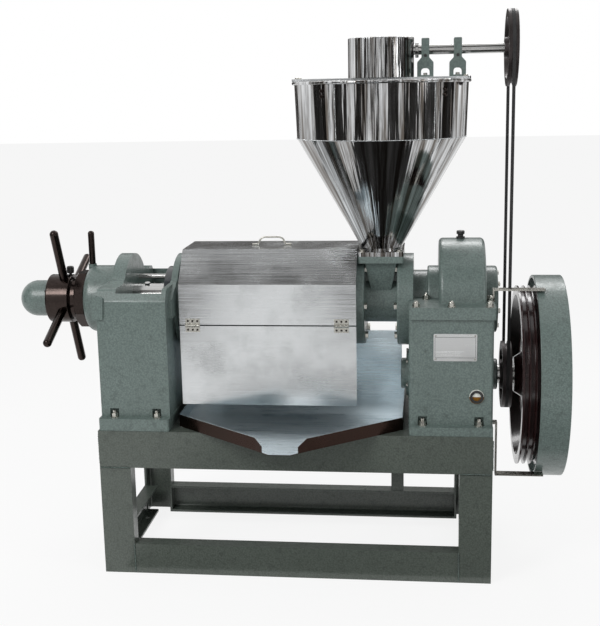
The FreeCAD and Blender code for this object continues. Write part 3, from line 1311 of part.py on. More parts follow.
def guard_band():
    """Rolled sheet band round the pulley, with stiffened edges."""
    x0 = GUARD_X
    x1 = GUARD_X + GUARD_WIDTH
    outer = GUARD_RADIUS
    inner = GUARD_RADIUS - GUARD_SHEET
    lip = inner - 6
    profile = [(x0, lip), (x0, outer), (x1, outer), (x1, lip), (x1 - 3, lip), (x1 - 3, inner), (x0 + 3, inner),
               (x0 + 3, lip)]
    return turned_x(profile, INPUT_Z, [0, 2.0, 2.0, 0, 0, 0, 0, 0])


def guard_brackets():
    """Flat-bar brackets from the gearbox to the band, above and below."""
    y1 = -END_BOSS_RADIUS - 8
    y0 = y1 - BRACKET_WIDTH
    top = INPUT_Z + math.sqrt(GUARD_RADIUS ** 2 - y1 ** 2) + AIR
    deck = SHAFT_Z + SEAM_FLANGE
    end = GUARD_X + 24
    upper = slab_y([(CASE_RIGHT - 20, deck), (CASE_RIGHT + 5, deck), (CASE_RIGHT + 5, top), (end, top), (end, top + 5),
                    (CASE_RIGHT, top + 5), (CASE_RIGHT, deck + 5), (CASE_RIGHT - 20, deck + 5)], y0, y1)
    y0 = -CASTING_DEPTH / 2 + BRACKET_INSET
    y1 = y0 + BRACKET_WIDTH
    low = INPUT_Z - math.sqrt(GUARD_RADIUS ** 2 - y1 ** 2) - AIR
    foot = FRAME_TOP + CASE_FOOT
    lower = slab_y([(CASE_RIGHT, foot - 2), (CASE_RIGHT + 16, foot - 2), (CASE_RIGHT + 16, low), (end, low),
                    (end, low - 5), (CASE_RIGHT + 11, low - 5), (CASE_RIGHT + 11, foot - 7), (CASE_RIGHT, foot - 7)],
                   y0, y1)
    return upper, lower


def build_drive():
    save("drive_pulley", drive_pulley())
    save("guard_band", guard_band())
    save("guard_brackets", *guard_brackets())


# ---------------------------------------------------------------- hood
def hood():
    """Folded sheet hood that sits over the cage on its two end plates."""
    top = SHAFT_Z + HOOD_TOP
    fold = SHAFT_Z + HOOD_FOLD
    rear = SHAFT_Z + HOOD_REAR
    s = HOOD_SHEET
    lip = HINGE_Z + FLAP_GAP / 2
    outer = [(HOOD_FRONT, lip), (HOOD_FRONT, fold), (-HOOD_HALF_TOP, top), (HOOD_HALF_TOP, top), (HOOD_HALF, fold),
             (HOOD_HALF, rear)]
    inner = [(HOOD_HALF - s, rear), (HOOD_HALF - s, fold - s * 0.5), (HOOD_HALF_TOP - s * 0.5, top - s),
             (-HOOD_HALF_TOP + s * 0.5, top - s), (HOOD_FRONT + s, fold - s * 0.5), (HOOD_FRONT + s, lip)]
    shell = slab_x(outer + inner, HOOD_LEFT, HOOD_RIGHT)
    low = SHAFT_Z + 6
    end_points = [(HOOD_FRONT + 1, low), (HOOD_FRONT + 1, fold), (-HOOD_HALF_TOP, top - 1), (HOOD_HALF_TOP, top - 1),
                  (HOOD_HALF - 1, fold), (HOOD_HALF - 1, low)]
    left = cut(slab_x(end_points, HOOD_LEFT, HOOD_LEFT + s), rod_x(CAGE_RADIUS + 0.1, HOOD_LEFT - 1, HOOD_LEFT + 9))
    right = cut(slab_x(end_points, HOOD_RIGHT - s, HOOD_RIGHT),
                rod_x(THROAT_FLANGE_RADIUS + 0.1, HOOD_RIGHT - 9, HOOD_RIGHT + 1))
    return fuse(shell, left, right)


def hood_flap():
    """Front flap of the hood, stiffened by a turned-in lower edge."""
    s = HOOD_SHEET
    z1 = HINGE_Z - FLAP_GAP / 2
    z0 = z1 - FLAP_LENGTH
    points = [(HOOD_FRONT, z0), (HOOD_FRONT, z1), (HOOD_FRONT + s, z1), (HOOD_FRONT + s, z0 + s),
              (HOOD_FRONT + 12, z0 + s), (HOOD_FRONT + 12, z0)]
    return slab_x(points, HOOD_LEFT, HOOD_RIGHT)


def hinge_places():
    width = LEAF_SIZE[0]
    return [HOOD_LEFT + HINGE_INSET, HOOD_RIGHT - HINGE_INSET - 4], width


def hinge_leaf(x, side):
    """Leaf and knuckles of a butt hinge; the upper leaf has the two outer knuckles and the pin."""
    width, height, thick = LEAF_SIZE
    z0, z1 = sorted((HINGE_Z + side * 1.0, HINGE_Z + side * (height + KNUCKLE_RADIUS)))
    leaf = box(x - width / 2, x + width / 2, HOOD_FRONT - thick, HOOD_FRONT, z0, z1)
    inner = width / 6
    room = rod_x(KNUCKLE_RADIUS + AIR, x - width, x + width, HINGE_Y, HINGE_Z)
    leaf = cut(leaf, room)
    if side > 0:
        spans = ((x - width / 2, x - inner - AIR), (x + inner + AIR, x + width / 2))
    else:
        spans = ((x - inner, x + inner),)
    pieces = []
    for x0, x1 in spans:
        barrel = rod_x(KNUCKLE_RADIUS, x0, x1, HINGE_Y, HINGE_Z)
        z2, z3 = sorted((HINGE_Z, HINGE_Z + side * (KNUCKLE_RADIUS + 2)))
        strap = box(x0, x1, HOOD_FRONT - thick, HOOD_FRONT, z2 + (AIR if side > 0 else 0), z3 - (AIR if side < 0 else 0))
        pieces += [barrel, strap]
    if side > 0:
        pieces.append(rod_x(1.6, x - width / 2, x + width / 2, HINGE_Y, HINGE_Z))
        return fuse(leaf, *pieces)
    return cut(fuse(leaf, *pieces), rod_x(1.6 + RUN, x - width, x + width, HINGE_Y, HINGE_Z))


def hood_handle():
    """Bent wire handle with two flattened feet."""
    x = (HOOD_LEFT + HOOD_RIGHT) / 2 - 4
    z = SHAFT_Z + HOOD_TOP
    half = HANDLE_SPAN / 2
    w = HANDLE_WIRE
    foot = 20.0
    points = [Vector(x - half - foot, 0, z + w), Vector(x - half, 0, z + w), Vector(x - half + 8, 0, z + HANDLE_RISE),
              Vector(x + half - 8, 0, z + HANDLE_RISE), Vector(x + half, 0, z + w), Vector(x + half + foot, 0, z + w)]
    path = open_outline(points, [0, 6.0, 22.0, 22.0, 6.0, 0])
    profile = Part.Wire(Part.makeCircle(w, points[0], X_AXIS))
    return path.makePipeShell([profile], True, True)


def open_outline(points, radii):
    """Open wire of straight runs and tangent arcs."""
    edges = []
    last = points[0]
    for i in range(1, len(points) - 1):
        corner = points[i]
        back = (points[i - 1] - corner).normalize()
        ahead = (points[i + 1] - corner).normalize()
        half = back.getAngle(ahead) / 2
        reach = radii[i] / math.tan(half)
        start = corner + back * reach
        end = corner + ahead * reach
        middle = corner + (back + ahead).normalize() * (radii[i] / math.sin(half) - radii[i])
        edges.append(Part.LineSegment(last, start).toShape())
        edges.append(Part.Arc(start, middle, end).toShape())
        last = end
    edges.append(Part.LineSegment(last, points[-1]).toShape())
    return Part.Wire(edges)


def build_hood():
    save("hood", hood())
    save("hood_flap", hood_flap())
    save("hood_handle", hood_handle())
    places = hinge_places()[0]
    save("hood_leaves", *[hinge_leaf(x, 1) for x in places])
    save("flap_leaves", *[hinge_leaf(x, -1) for x in places])


# ---------------------------------------------------------------- oil tray
def tray_outline(inset):
    """Plan of the tray, pointed at the lip in front."""
    half = TRAY_HALF - inset
    return [(TRAY_X - half, TRAY_BACK), (TRAY_X - half, -TRAY_CORNER + inset * 0.6),
            (TRAY_X - TRAY_LIP_BASE + inset, -TRAY_LIP_FRONT + inset * 0.6),
            (TRAY_X - TRAY_LIP_TIP + inset, -TRAY_TIP_FRONT), (TRAY_X + TRAY_LIP_TIP - inset, -TRAY_TIP_FRONT),
            (TRAY_X + TRAY_LIP_BASE - inset, -TRAY_LIP_FRONT + inset * 0.6),
            (TRAY_X + half, -TRAY_CORNER + inset * 0.6), (TRAY_X + half, TRAY_BACK)]


def oil_tray():
    """Folded pan with a splash wall behind and walls that run out to nothing at the lip."""
    s = TRAY_SHEET
    top = TRAY_Z + TRAY_WALL
    outer = slab_z(tray_outline(0.0), TRAY_Z, top)
    inner_points = tray_outline(s)
    inner_points[0] = (inner_points[0][0], TRAY_BACK - s)
    inner_points[-1] = (inner_points[-1][0], TRAY_BACK - s)
    inner_points[3] = (inner_points[3][0], -TRAY_TIP_FRONT - 5)
    inner_points[4] = (inner_points[4][0], -TRAY_TIP_FRONT - 5)
    pan = cut(outer, slab_z(inner_points, TRAY_Z + s, top + 1))
    slope = slab_x([(-TRAY_LIP_FRONT, top), (-TRAY_TIP_FRONT - 1, TRAY_Z + s), (-TRAY_TIP_FRONT - 9, top + 9),
                    (-TRAY_LIP_FRONT, top + 9)], TRAY_X - 120, TRAY_X + 120)
    right = THROAT_RIGHT - 22
    splash = box(TRAY_X - TRAY_HALF, right, TRAY_BACK - s, TRAY_BACK, top - 1, TRAY_Z + SPLASH_HEIGHT)
    hem = box(TRAY_X - TRAY_HALF, right, TRAY_BACK - s, TRAY_BACK + 10, TRAY_Z + SPLASH_HEIGHT - s,
              TRAY_Z + SPLASH_HEIGHT)
    return fuse(cut(pan, slope), splash, hem)


def build_tray():
    save("oil_tray", oil_tray())


def main():
    os.makedirs("parts", exist_ok=True)
    build_frame()
    build_pedestal()
    build_adjuster()
    build_shafts()
    build_cage()
    build_throat()
    build_hopper()
    build_feed_belt()
    build_gearbox()
    build_drive()
    build_hood()
    build_tray()


main()
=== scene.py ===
"""Looks of the screw oil press: finishes, welds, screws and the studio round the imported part."""

import logging
import math
from dataclasses import dataclass
from enum import Enum
from typing import Sequence

import bpy
from mathutils import Matrix, Vector


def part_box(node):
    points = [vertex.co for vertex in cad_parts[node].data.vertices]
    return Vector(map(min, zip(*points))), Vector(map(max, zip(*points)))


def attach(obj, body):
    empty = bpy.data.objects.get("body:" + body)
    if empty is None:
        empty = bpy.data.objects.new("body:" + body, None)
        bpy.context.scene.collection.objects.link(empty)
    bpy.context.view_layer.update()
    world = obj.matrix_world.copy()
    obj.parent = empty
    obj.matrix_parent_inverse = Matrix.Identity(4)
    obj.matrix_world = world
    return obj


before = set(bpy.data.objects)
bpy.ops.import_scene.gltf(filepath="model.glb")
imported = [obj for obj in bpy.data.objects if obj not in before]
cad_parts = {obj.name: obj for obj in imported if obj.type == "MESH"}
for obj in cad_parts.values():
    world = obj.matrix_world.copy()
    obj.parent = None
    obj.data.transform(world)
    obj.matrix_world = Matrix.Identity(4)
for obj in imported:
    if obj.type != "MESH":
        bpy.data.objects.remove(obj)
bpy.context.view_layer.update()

LOG = logging.getLogger("oil_press")
Colour = tuple[float, float, float]
Point = tuple[float, float, float]

SHAFT_Z = 0.848
INPUT_Z = 0.600
ROOT = "press"


# ------------------------------------------------------------------ node trees
@dataclass
class Graph:
    """Short-hand for wiring one node tree."""

    tree: bpy.types.NodeTree

    def add(self, kind: str, inputs: dict | None = None, **settings: object) -> bpy.types.Node:
        """Add a node.

        Args:
            kind: Blender's node type.
            inputs: Socket name or index to a value, or to an output socket to link from.
            **settings: Node properties to set before its sockets are used.

        Returns:
            The new node.
        """
        node = self.tree.nodes.new(kind)
        for name, value in settings.items():
            setattr(node, name, value)
        for key, value in (inputs or {}).items():
            socket = node.inputs[key]
            if isinstance(value, bpy.types.NodeSocket):
                self.tree.links.new(value, socket)
            else:
                socket.default_value = value
        return node

    def maths(self, operation: str, first: object, second: object = 0.0) -> bpy.types.NodeSocket:
        """One Math node's result."""
        return self.add("ShaderNodeMath", {0: first, 1: second}, operation=operation).outputs[0]

    def remap(self, value: object, low: float, high: float, new_low: float,
              new_high: float) -> bpy.types.NodeSocket:
        """A value carried from one range to another, clamped."""
        ranges = {"From Min": low, "From Max": high, "To Min": new_low, "To Max": new_high}
        return self.add("ShaderNodeMapRange", {"Value": value, **ranges}).outputs["Result"]

    def ramp(self, value: object, stops: Sequence[tuple[float, Colour]]) -> bpy.types.NodeSocket:
        """A colour ramp's result.

        Args:
            value: The factor socket.
            stops: Positions and colours, in rising order.

        Returns:
            The colour socket.
        """
        node = self.add("ShaderNodeValToRGB", {"Fac": value})
        elements = node.color_ramp.elements
        while len(elements) < len(stops):
            elements.new(0.5)
        for element, (position, colour) in zip(elements, stops):
            element.position = position
            element.color = (*colour, 1.0)
        return node.outputs["Color"]

    def noise(self, vector: object, scale: float, detail: float = 3.0,
              rough: float = 0.5) -> bpy.types.NodeSocket:
        """A noise texture's factor."""
        values = {"Vector": vector, "Scale": scale, "Detail": detail, "Roughness": rough}
        return self.add("ShaderNodeTexNoise", values).outputs[0]

    def mix(self, factor: object, first: object, second: object) -> bpy.types.NodeSocket:
        """Two colours mixed by a factor."""
        node = self.add("ShaderNodeMix", data_type="RGBA")
        for index, value in ((0, factor), (6, first), (7, second)):
            if isinstance(value, bpy.types.NodeSocket):
                self.tree.links.new(value, node.inputs[index])
            elif index == 0:
                node.inputs[index].default_value = value
            else:
                node.inputs[index].default_value = (*value, 1.0)
        return node.outputs[2]


# ------------------------------------------------------------------ finishes
@dataclass(frozen=True)
class Finish:
    """A surface finish with one base colour in linear light."""

    name: str
    colour: Colour

    def build(self) -> bpy.types.Material:
        """Make the material.

        Returns:
            A material whose graph the subclass fills in.
        """
        material = bpy.data.materials.new(self.name)
        material.use_nodes = True
        material.diffuse_color = (*self.colour, 1.0)
        graph = Graph(material.node_tree)
        shader = material.node_tree.nodes["Principled BSDF"]
        place = graph.add("ShaderNodeTexCoord").outputs["Object"]
        self.dress(graph, shader, place)
        return material

    def dress(self, graph: Graph, shader: bpy.types.Node, place: bpy.types.NodeSocket) -> None:
        """Fill in the graph; each finish has its own."""
        shader.inputs["Base Color"].default_value = (*self.colour, 1.0)

    def link(self, graph: Graph, shader: bpy.types.Node, **sockets: bpy.types.NodeSocket) -> None:
        """Link results to the shader's sockets, named with underscores for spaces."""
        for name, value in sockets.items():
            graph.tree.links.new(value, shader.inputs[name.replace("_", " ")])


@dataclass(frozen=True)
class HammerPaint(Finish):
    """Hammer-tone enamel: small flowing cells with dark rims, over castings, with faint clouds and grime."""

    cell: float = 0.0052
    depth: float = 0.32
    shade: float = 0.76
    bloom: float = 1.16

    def dress(self, graph: Graph, shader: bpy.types.Node, place: bpy.types.NodeSocket) -> None:
        """Mix cells, clouds and grime into the colour and press the cells into the surface."""
        warp = graph.add("ShaderNodeTexNoise", {"Vector": place, "Scale": 90.0,
                                                "Detail": 1.0}).outputs["Color"]
        pulled = graph.add("ShaderNodeMix", {0: 0.006}, data_type="VECTOR")
        graph.tree.links.new(place, pulled.inputs[4])
        graph.tree.links.new(warp, pulled.inputs[5])
        cells = graph.add("ShaderNodeTexVoronoi", {"Vector": pulled.outputs[1], "Scale": 1.0 / self.cell,
                                                   "Randomness": 1.0, "Smoothness": 0.35},
                          feature="SMOOTH_F1").outputs["Distance"]
        clouds = graph.noise(place, 9.0, 4.0, 0.6)
        dirt = graph.noise(place, 38.0, 5.0, 0.65)
        dark = tuple(c * self.shade for c in self.colour)
        light = tuple(min(c * self.bloom, 1.0) for c in self.colour)
        tone = graph.ramp(graph.remap(cells, 0.1, 0.75, 0.0, 1.0),
                          [(0.0, light), (0.45, self.colour), (1.0, dark)])
        aged = graph.mix(graph.remap(clouds, 0.35, 0.7, 0.0, 0.35), tone, dark)
        grime = graph.mix(graph.remap(dirt, 0.56, 0.74, 0.0, 0.55), aged,
                          tuple(c * 0.35 for c in self.colour))
        rough = graph.remap(dirt, 0.3, 0.7, 0.27, 0.46)
        bump = graph.add("ShaderNodeBump", {"Strength": self.depth, "Distance": self.cell * 0.22,
                                            "Height": cells}, invert=True)
        self.link(graph, shader, Base_Color=grime, Roughness=rough, Normal=bump.outputs[0])
        shader.inputs["Coat Weight"].default_value = 0.25
        shader.inputs["Coat Roughness"].default_value = 0.18


@dataclass(frozen=True)
class GlossPaint(Finish):
    """Sprayed enamel with a little orange peel and dust."""

    rough: float = 0.24
    dust: Colour = (0.20, 0.19, 0.17)
    dusty: float = 0.16

    def dress(self, graph: Graph, shader: bpy.types.Node, place: bpy.types.NodeSocket) -> None:
        """Cloud the colour with dust and ripple the surface."""
        cloud = graph.noise(place, 22.0, 4.0, 0.6)
        fine = graph.noise(place, 320.0, 2.0, 0.5)
        tone = graph.mix(graph.remap(cloud, 0.42, 0.72, 0.0, self.dusty), self.colour, self.dust)
        rough = graph.remap(cloud, 0.3, 0.7, self.rough * 0.8, self.rough * 1.7)
        bump = graph.add("ShaderNodeBump", {"Strength": 0.12, "Distance": 0.0008, "Height": fine})
        self.link(graph, shader, Base_Color=tone, Roughness=rough, Normal=bump.outputs[0])
        shader.inputs["Coat Weight"].default_value = 0.35
        shader.inputs["Coat Roughness"].default_value = 0.12


class Grain(Enum):
    """Direction of the brushing or turning marks."""

    ALONG_X = (1.2, 90.0, 90.0)
    FINE = (60.0, 60.0, 60.0)


@dataclass(frozen=True)
class BrushedMetal(Finish):
    """Bare metal with marks along one direction, smears and faint finger oil."""

    grain: Grain = Grain.ALONG_X
    rough: float = 0.24
    contrast: float = 0.16
    smear: Colour = (0.30, 0.31, 0.31)
    smeared: float = 0.3

    def dress(self, graph: Graph, shader: bpy.types.Node, place: bpy.types.NodeSocket) -> None:
        """Stretch noise into marks for colour, roughness and relief."""
        spread = tuple(4.0 * s for s in self.grain.value)
        stretch = graph.add("ShaderNodeMapping", {"Vector": place, "Scale": spread})
        marks = graph.noise(stretch.outputs[0], 1.0, 4.0, 0.6)
        smears = graph.noise(place, 5.5, 5.0, 0.62)
        low = tuple(c * (1.0 - self.contrast) for c in self.colour)
        tone = graph.ramp(marks, [(0.3, low), (0.7, self.colour)])
        worn = graph.mix(graph.remap(smears, 0.5, 0.76, 0.0, self.smeared), tone, self.smear)
        rough = graph.maths("ADD", graph.remap(marks, 0.3, 0.7, self.rough * 0.7, self.rough * 1.2),
                            graph.remap(smears, 0.45, 0.75, 0.0, 0.12))
        bump = graph.add("ShaderNodeBump", {"Strength": 0.08, "Distance": 0.0004, "Height": marks})
        self.link(graph, shader, Base_Color=worn, Roughness=rough, Normal=bump.outputs[0])
        shader.inputs["Metallic"].default_value = 1.0


@dataclass(frozen=True)
class MirrorSheet(Finish):
    """Polished rolled sheet: nearly a mirror, gently rippled, with dark bands of painted reflection about the
    upright axis.
    """

    axis_x: float = 0.27
    rough: float = 0.05
    # Colour of the dark bands: painted reflection in the base colour.
    painted_reflection_colour: Colour = (0.13, 0.115, 0.10)

    def dress(self, graph: Graph, shader: bpy.types.Node, place: bpy.types.NodeSocket) -> None:
        """Turn the angle about the axis into dark bands of painted reflection in the colour and let the sheet
        ripple round it.
        """
        centred = graph.add("ShaderNodeMapping", {"Vector": place, "Location": (-self.axis_x, 0.0, 0.0)})
        parts = graph.add("ShaderNodeSeparateXYZ", {0: centred.outputs[0]})
        angle = graph.maths("ARCTAN2", parts.outputs[1], parts.outputs[0])
        rolled = graph.add("ShaderNodeCombineXYZ", {0: graph.maths("MULTIPLY", angle, 3.4),
                                                    1: graph.maths("MULTIPLY", parts.outputs[2], 0.55)})
        around = rolled.outputs[0]
        painted_reflection_bands = graph.noise(around, 2.6, 5.0, 0.72)
        ripple = graph.noise(around, 4.2, 2.0, 0.5)
        smears = graph.noise(place, 11.0, 5.0, 0.6)
        # The ramp paints dark reflection bands into the base colour.
        tone = graph.ramp(painted_reflection_bands, [(0.42, self.painted_reflection_colour), (0.54, tuple(c * 0.6 for c in self.colour)),
                                    (0.66, self.colour)])
        rough = graph.remap(smears, 0.4, 0.75, self.rough, self.rough + 0.1)
        bump = graph.add("ShaderNodeBump", {"Strength": 0.35, "Distance": 0.004, "Height": ripple})
        self.link(graph, shader, Base_Color=tone, Roughness=rough, Normal=bump.outputs[0])
        shader.inputs["Metallic"].default_value = 1.0


@dataclass(frozen=True)
class CastMetal(Finish):
    """Bare or thinly painted cast iron with a sandy skin."""

    rough: float = 0.5

    def dress(self, graph: Graph, shader: bpy.types.Node, place: bpy.types.NodeSocket) -> None:
        """Grain the skin and cloud its tone at random."""
        sand = graph.noise(place, 210.0, 4.0, 0.7)
        cloud = graph.noise(place, 14.0, 3.0, 0.5)
        tone = graph.ramp(cloud, [(0.35, tuple(c * 0.6 for c in self.colour)), (0.7, self.colour)])
        bump = graph.add("ShaderNodeBump", {"Strength": 0.35, "Distance": 0.0012, "Height": sand})
        rough = graph.remap(sand, 0.3, 0.7, self.rough * 0.75, self.rough)
        self.link(graph, shader, Base_Color=tone, Roughness=rough, Normal=bump.outputs[0])
        shader.inputs["Metallic"].default_value = 0.55


@dataclass(frozen=True)
class BeltRubber(Finish):
    """Moulded belt rubber with a woven cover."""

    def dress(self, graph: Graph, shader: bpy.types.Node, place: bpy.types.NodeSocket) -> None:
        """Cross two fine waves into a weave and dust it."""
        weave = graph.add("ShaderNodeTexWave", {"Vector": place, "Scale": 190.0, "Distortion": 1.2},
                          bands_direction="DIAGONAL").outputs["Fac"]
        dust = graph.noise(place, 26.0, 4.0, 0.6)
        tone = graph.mix(graph.remap(dust, 0.45, 0.75, 0.0, 0.2), self.colour, (0.10, 0.10, 0.095))
        bump = graph.add("ShaderNodeBump", {"Strength": 0.25, "Distance": 0.0006, "Height": weave})
        self.link(graph, shader, Base_Color=tone, Roughness=graph.remap(dust, 0.3, 0.7, 0.5, 0.75),
                  Normal=bump.outputs[0])


@dataclass(frozen=True)
class SightGlass(Finish):
    """Clear lens with oil behind its lower half."""

    level: float = 0.596

    def dress(self, graph: Graph, shader: bpy.types.Node, place: bpy.types.NodeSocket) -> None:
        """Darken the lens below the oil level."""
        height = graph.add("ShaderNodeSeparateXYZ", {0: place}).outputs[2]
        wet = graph.remap(height, self.level + 0.0008, self.level - 0.0008, 0.0, 1.0)
        tone = graph.mix(wet, self.colour, (0.22, 0.10, 0.015))
        haze = graph.noise(place, 90.0, 2.0, 0.5)
        self.link(graph, shader, Base_Color=tone, Roughness=graph.remap(haze, 0.3, 0.7, 0.04, 0.12))
        shader.inputs["Coat Weight"].default_value = 1.0


class Palette:
    """Every finish of the press, built once."""

    GREEN = (0.140, 0.186, 0.172)

    FINISHES: tuple[Finish, ...] = (
        HammerPaint("hammered_paint", GREEN),
        # A darker copy of the green hammer paint: its extra darkness is painted shade for the low frame.
        HammerPaint("frame_paint", (0.090, 0.108, 0.092), cell=0.005, depth=0.3, shade=0.72),
        GlossPaint("dark_paint", (0.030, 0.036, 0.042), rough=0.22),
        GlossPaint("pulley_paint", (0.022, 0.008, 0.008), rough=0.16, dust=(0.12, 0.10, 0.09), dusty=0.1),
        BrushedMetal("brushed_stainless", (0.76, 0.78, 0.79), Grain.ALONG_X, rough=0.2),
        # Lit copy of the tray's stainless: its brighter, bluer colour is painted light on the inside.
        BrushedMetal("tray_stainless_painted_light", (0.80, 0.90, 0.95), Grain.ALONG_X, rough=0.3,
                     contrast=0.05, smeared=0.2),
        # Shaded copy of the same stainless: its near-black brown is painted shade on the outer walls.
        BrushedMetal("tray_skirt_painted_shade", (0.045, 0.027, 0.022), Grain.ALONG_X, rough=0.3,
                     smear=(0.06, 0.05, 0.04)),
        MirrorSheet("mirror_stainless", (0.80, 0.81, 0.82)),
        BrushedMetal("polished_steel", (0.055, 0.042, 0.038), Grain.FINE, rough=0.16, contrast=0.5,
                     smear=(0.05, 0.045, 0.04), smeared=0.5),
        BrushedMetal("machined_steel", (0.56, 0.56, 0.55), Grain.ALONG_X, rough=0.2,
                     smear=(0.22, 0.19, 0.15)),
        BrushedMetal("zinc_steel", (0.62, 0.61, 0.56), Grain.FINE, rough=0.26, smear=(0.35, 0.30, 0.22)),
        GlossPaint("black_oxide", (0.012, 0.012, 0.012), rough=0.34, dusty=0.08),
        CastMetal("cast_pulley", (0.055, 0.045, 0.045), rough=0.42),
        BeltRubber("belt_rubber", (0.012, 0.012, 0.013)),
        BrushedMetal("plate_foil", (0.82, 0.83, 0.83), Grain.ALONG_X, rough=0.34,
                     contrast=0.08, smeared=0.15),
        SightGlass("sight_lens", (0.72, 0.74, 0.68)),
        BrushedMetal("weld_metal", (0.20, 0.25, 0.23), Grain.FINE, rough=0.42, contrast=0.4),
    )

    def __init__(self) -> None:
        """Build the materials by name."""
        self.made = {finish.name: finish.build() for finish in self.FINISHES}

    def __getitem__(self, name: str) -> bpy.types.Material:
        """The material of that name."""
        return self.made[name]

    def dress(self, node: str, name: str) -> None:
        """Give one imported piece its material."""
        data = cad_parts[node].data
        data.materials.clear()
        data.materials.append(self.made[name])


# ------------------------------------------------------------------ mesh building
def piece(name: str, mesh: bpy.types.Mesh, material: bpy.types.Material, body: str) -> bpy.types.Object:
    """Put a finished mesh in the scene as a piece of the press.

    Args:
        name: The piece's name.
        mesh: Its mesh, with its place in its vertices.
        material: Its material, used where the mesh has none.
        body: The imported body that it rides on.

    Returns:
        The new object.
    """
    if not mesh.materials:
        mesh.materials.append(material)
    obj = bpy.data.objects.new(name, mesh)
    bpy.context.scene.collection.objects.link(obj)
    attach(obj, body)
    LOG.info("%s: %d faces on %s", name, len(mesh.polygons), body)
    return obj


class GeometryTree:
    """A Geometry Nodes tree with named inputs that is turned into a plain mesh."""

    def __init__(self, name: str) -> None:
        """Start the tree with a geometry output."""
        self.tree = bpy.data.node_groups.new(name, "GeometryNodeTree")
        self.graph = Graph(self.tree)
        self.sockets: dict[str, str] = {}
        self.tree.interface.new_socket("Geometry", in_out="OUTPUT", socket_type="NodeSocketGeometry")
        self.tree.interface.new_socket("Geometry", in_out="INPUT", socket_type="NodeSocketGeometry")
        self.entry: bpy.types.Node | None = None

    def number(self, name: str, value: float, kind: str = "NodeSocketFloat") -> None:
        """Declare a named input with its usual value."""
        socket = self.tree.interface.new_socket(name, in_out="INPUT", socket_type=kind)
        socket.default_value = value
        self.sockets[name] = socket.identifier

    def begin(self) -> bpy.types.Node:
        """The group input node, once every input is declared."""
        self.entry = self.tree.nodes.new("NodeGroupInput")
        return self.entry

    def end(self, geometry: bpy.types.NodeSocket, material: bpy.types.Material) -> None:
        """Close the tree with Realize Instances and Set Material."""
        real = self.graph.add("GeometryNodeRealizeInstances", {"Geometry": geometry})
        dressed = self.graph.add("GeometryNodeSetMaterial",
                                 {"Geometry": real.outputs[0], "Material": material})
        leave = self.tree.nodes.new("NodeGroupOutput")
        self.tree.links.new(dressed.outputs[0], leave.inputs[0])

    def mesh(self, name: str, base: bpy.types.Mesh, values: dict[str, float]) -> bpy.types.Mesh:
        """Run the tree on a base mesh.

        Args:
            name: Name of the resulting mesh.
            base: What the tree starts from.
            values: Input name to value, where it differs from the usual one.

        Returns:
            The evaluated mesh.
        """
        carrier = bpy.data.objects.new(name + "_carrier", base)
        bpy.context.scene.collection.objects.link(carrier)
        modifier = carrier.modifiers.new("tree", "NODES")
        modifier.node_group = self.tree
        for label, value in values.items():
            modifier[self.sockets[label]] = value
        depsgraph = bpy.context.evaluated_depsgraph_get()
        made = bpy.data.meshes.new_from_object(carrier.evaluated_get(depsgraph), depsgraph=depsgraph)
        made.name = name
        carrier.modifiers.remove(modifier)
        bpy.data.objects.remove(carrier)
        return made


def placed_points(places: Sequence[tuple[Vector, Vector]]) -> bpy.types.Mesh:
    """Loose vertices that carry their outward direction as an attribute.

    Args:
        places: Position and direction of each one.

    Returns:
        The mesh.
    """
    mesh = bpy.data.meshes.new("places")
    mesh.from_pydata([tuple(p) for p, _ in places], [], [])
    facing = mesh.attributes.new("facing", "FLOAT_VECTOR", "POINT")
    facing.data.foreach_set("vector", [c for _, d in places for c in d.normalized()])
    return mesh


class Head(Enum):
    """Screw head forms: sides of the head and share of its width that the dome keeps."""

    HEXAGON = (6, 0.86)
    ROUND = (16, 0.55)
    SOCKET = (20, 0.94)


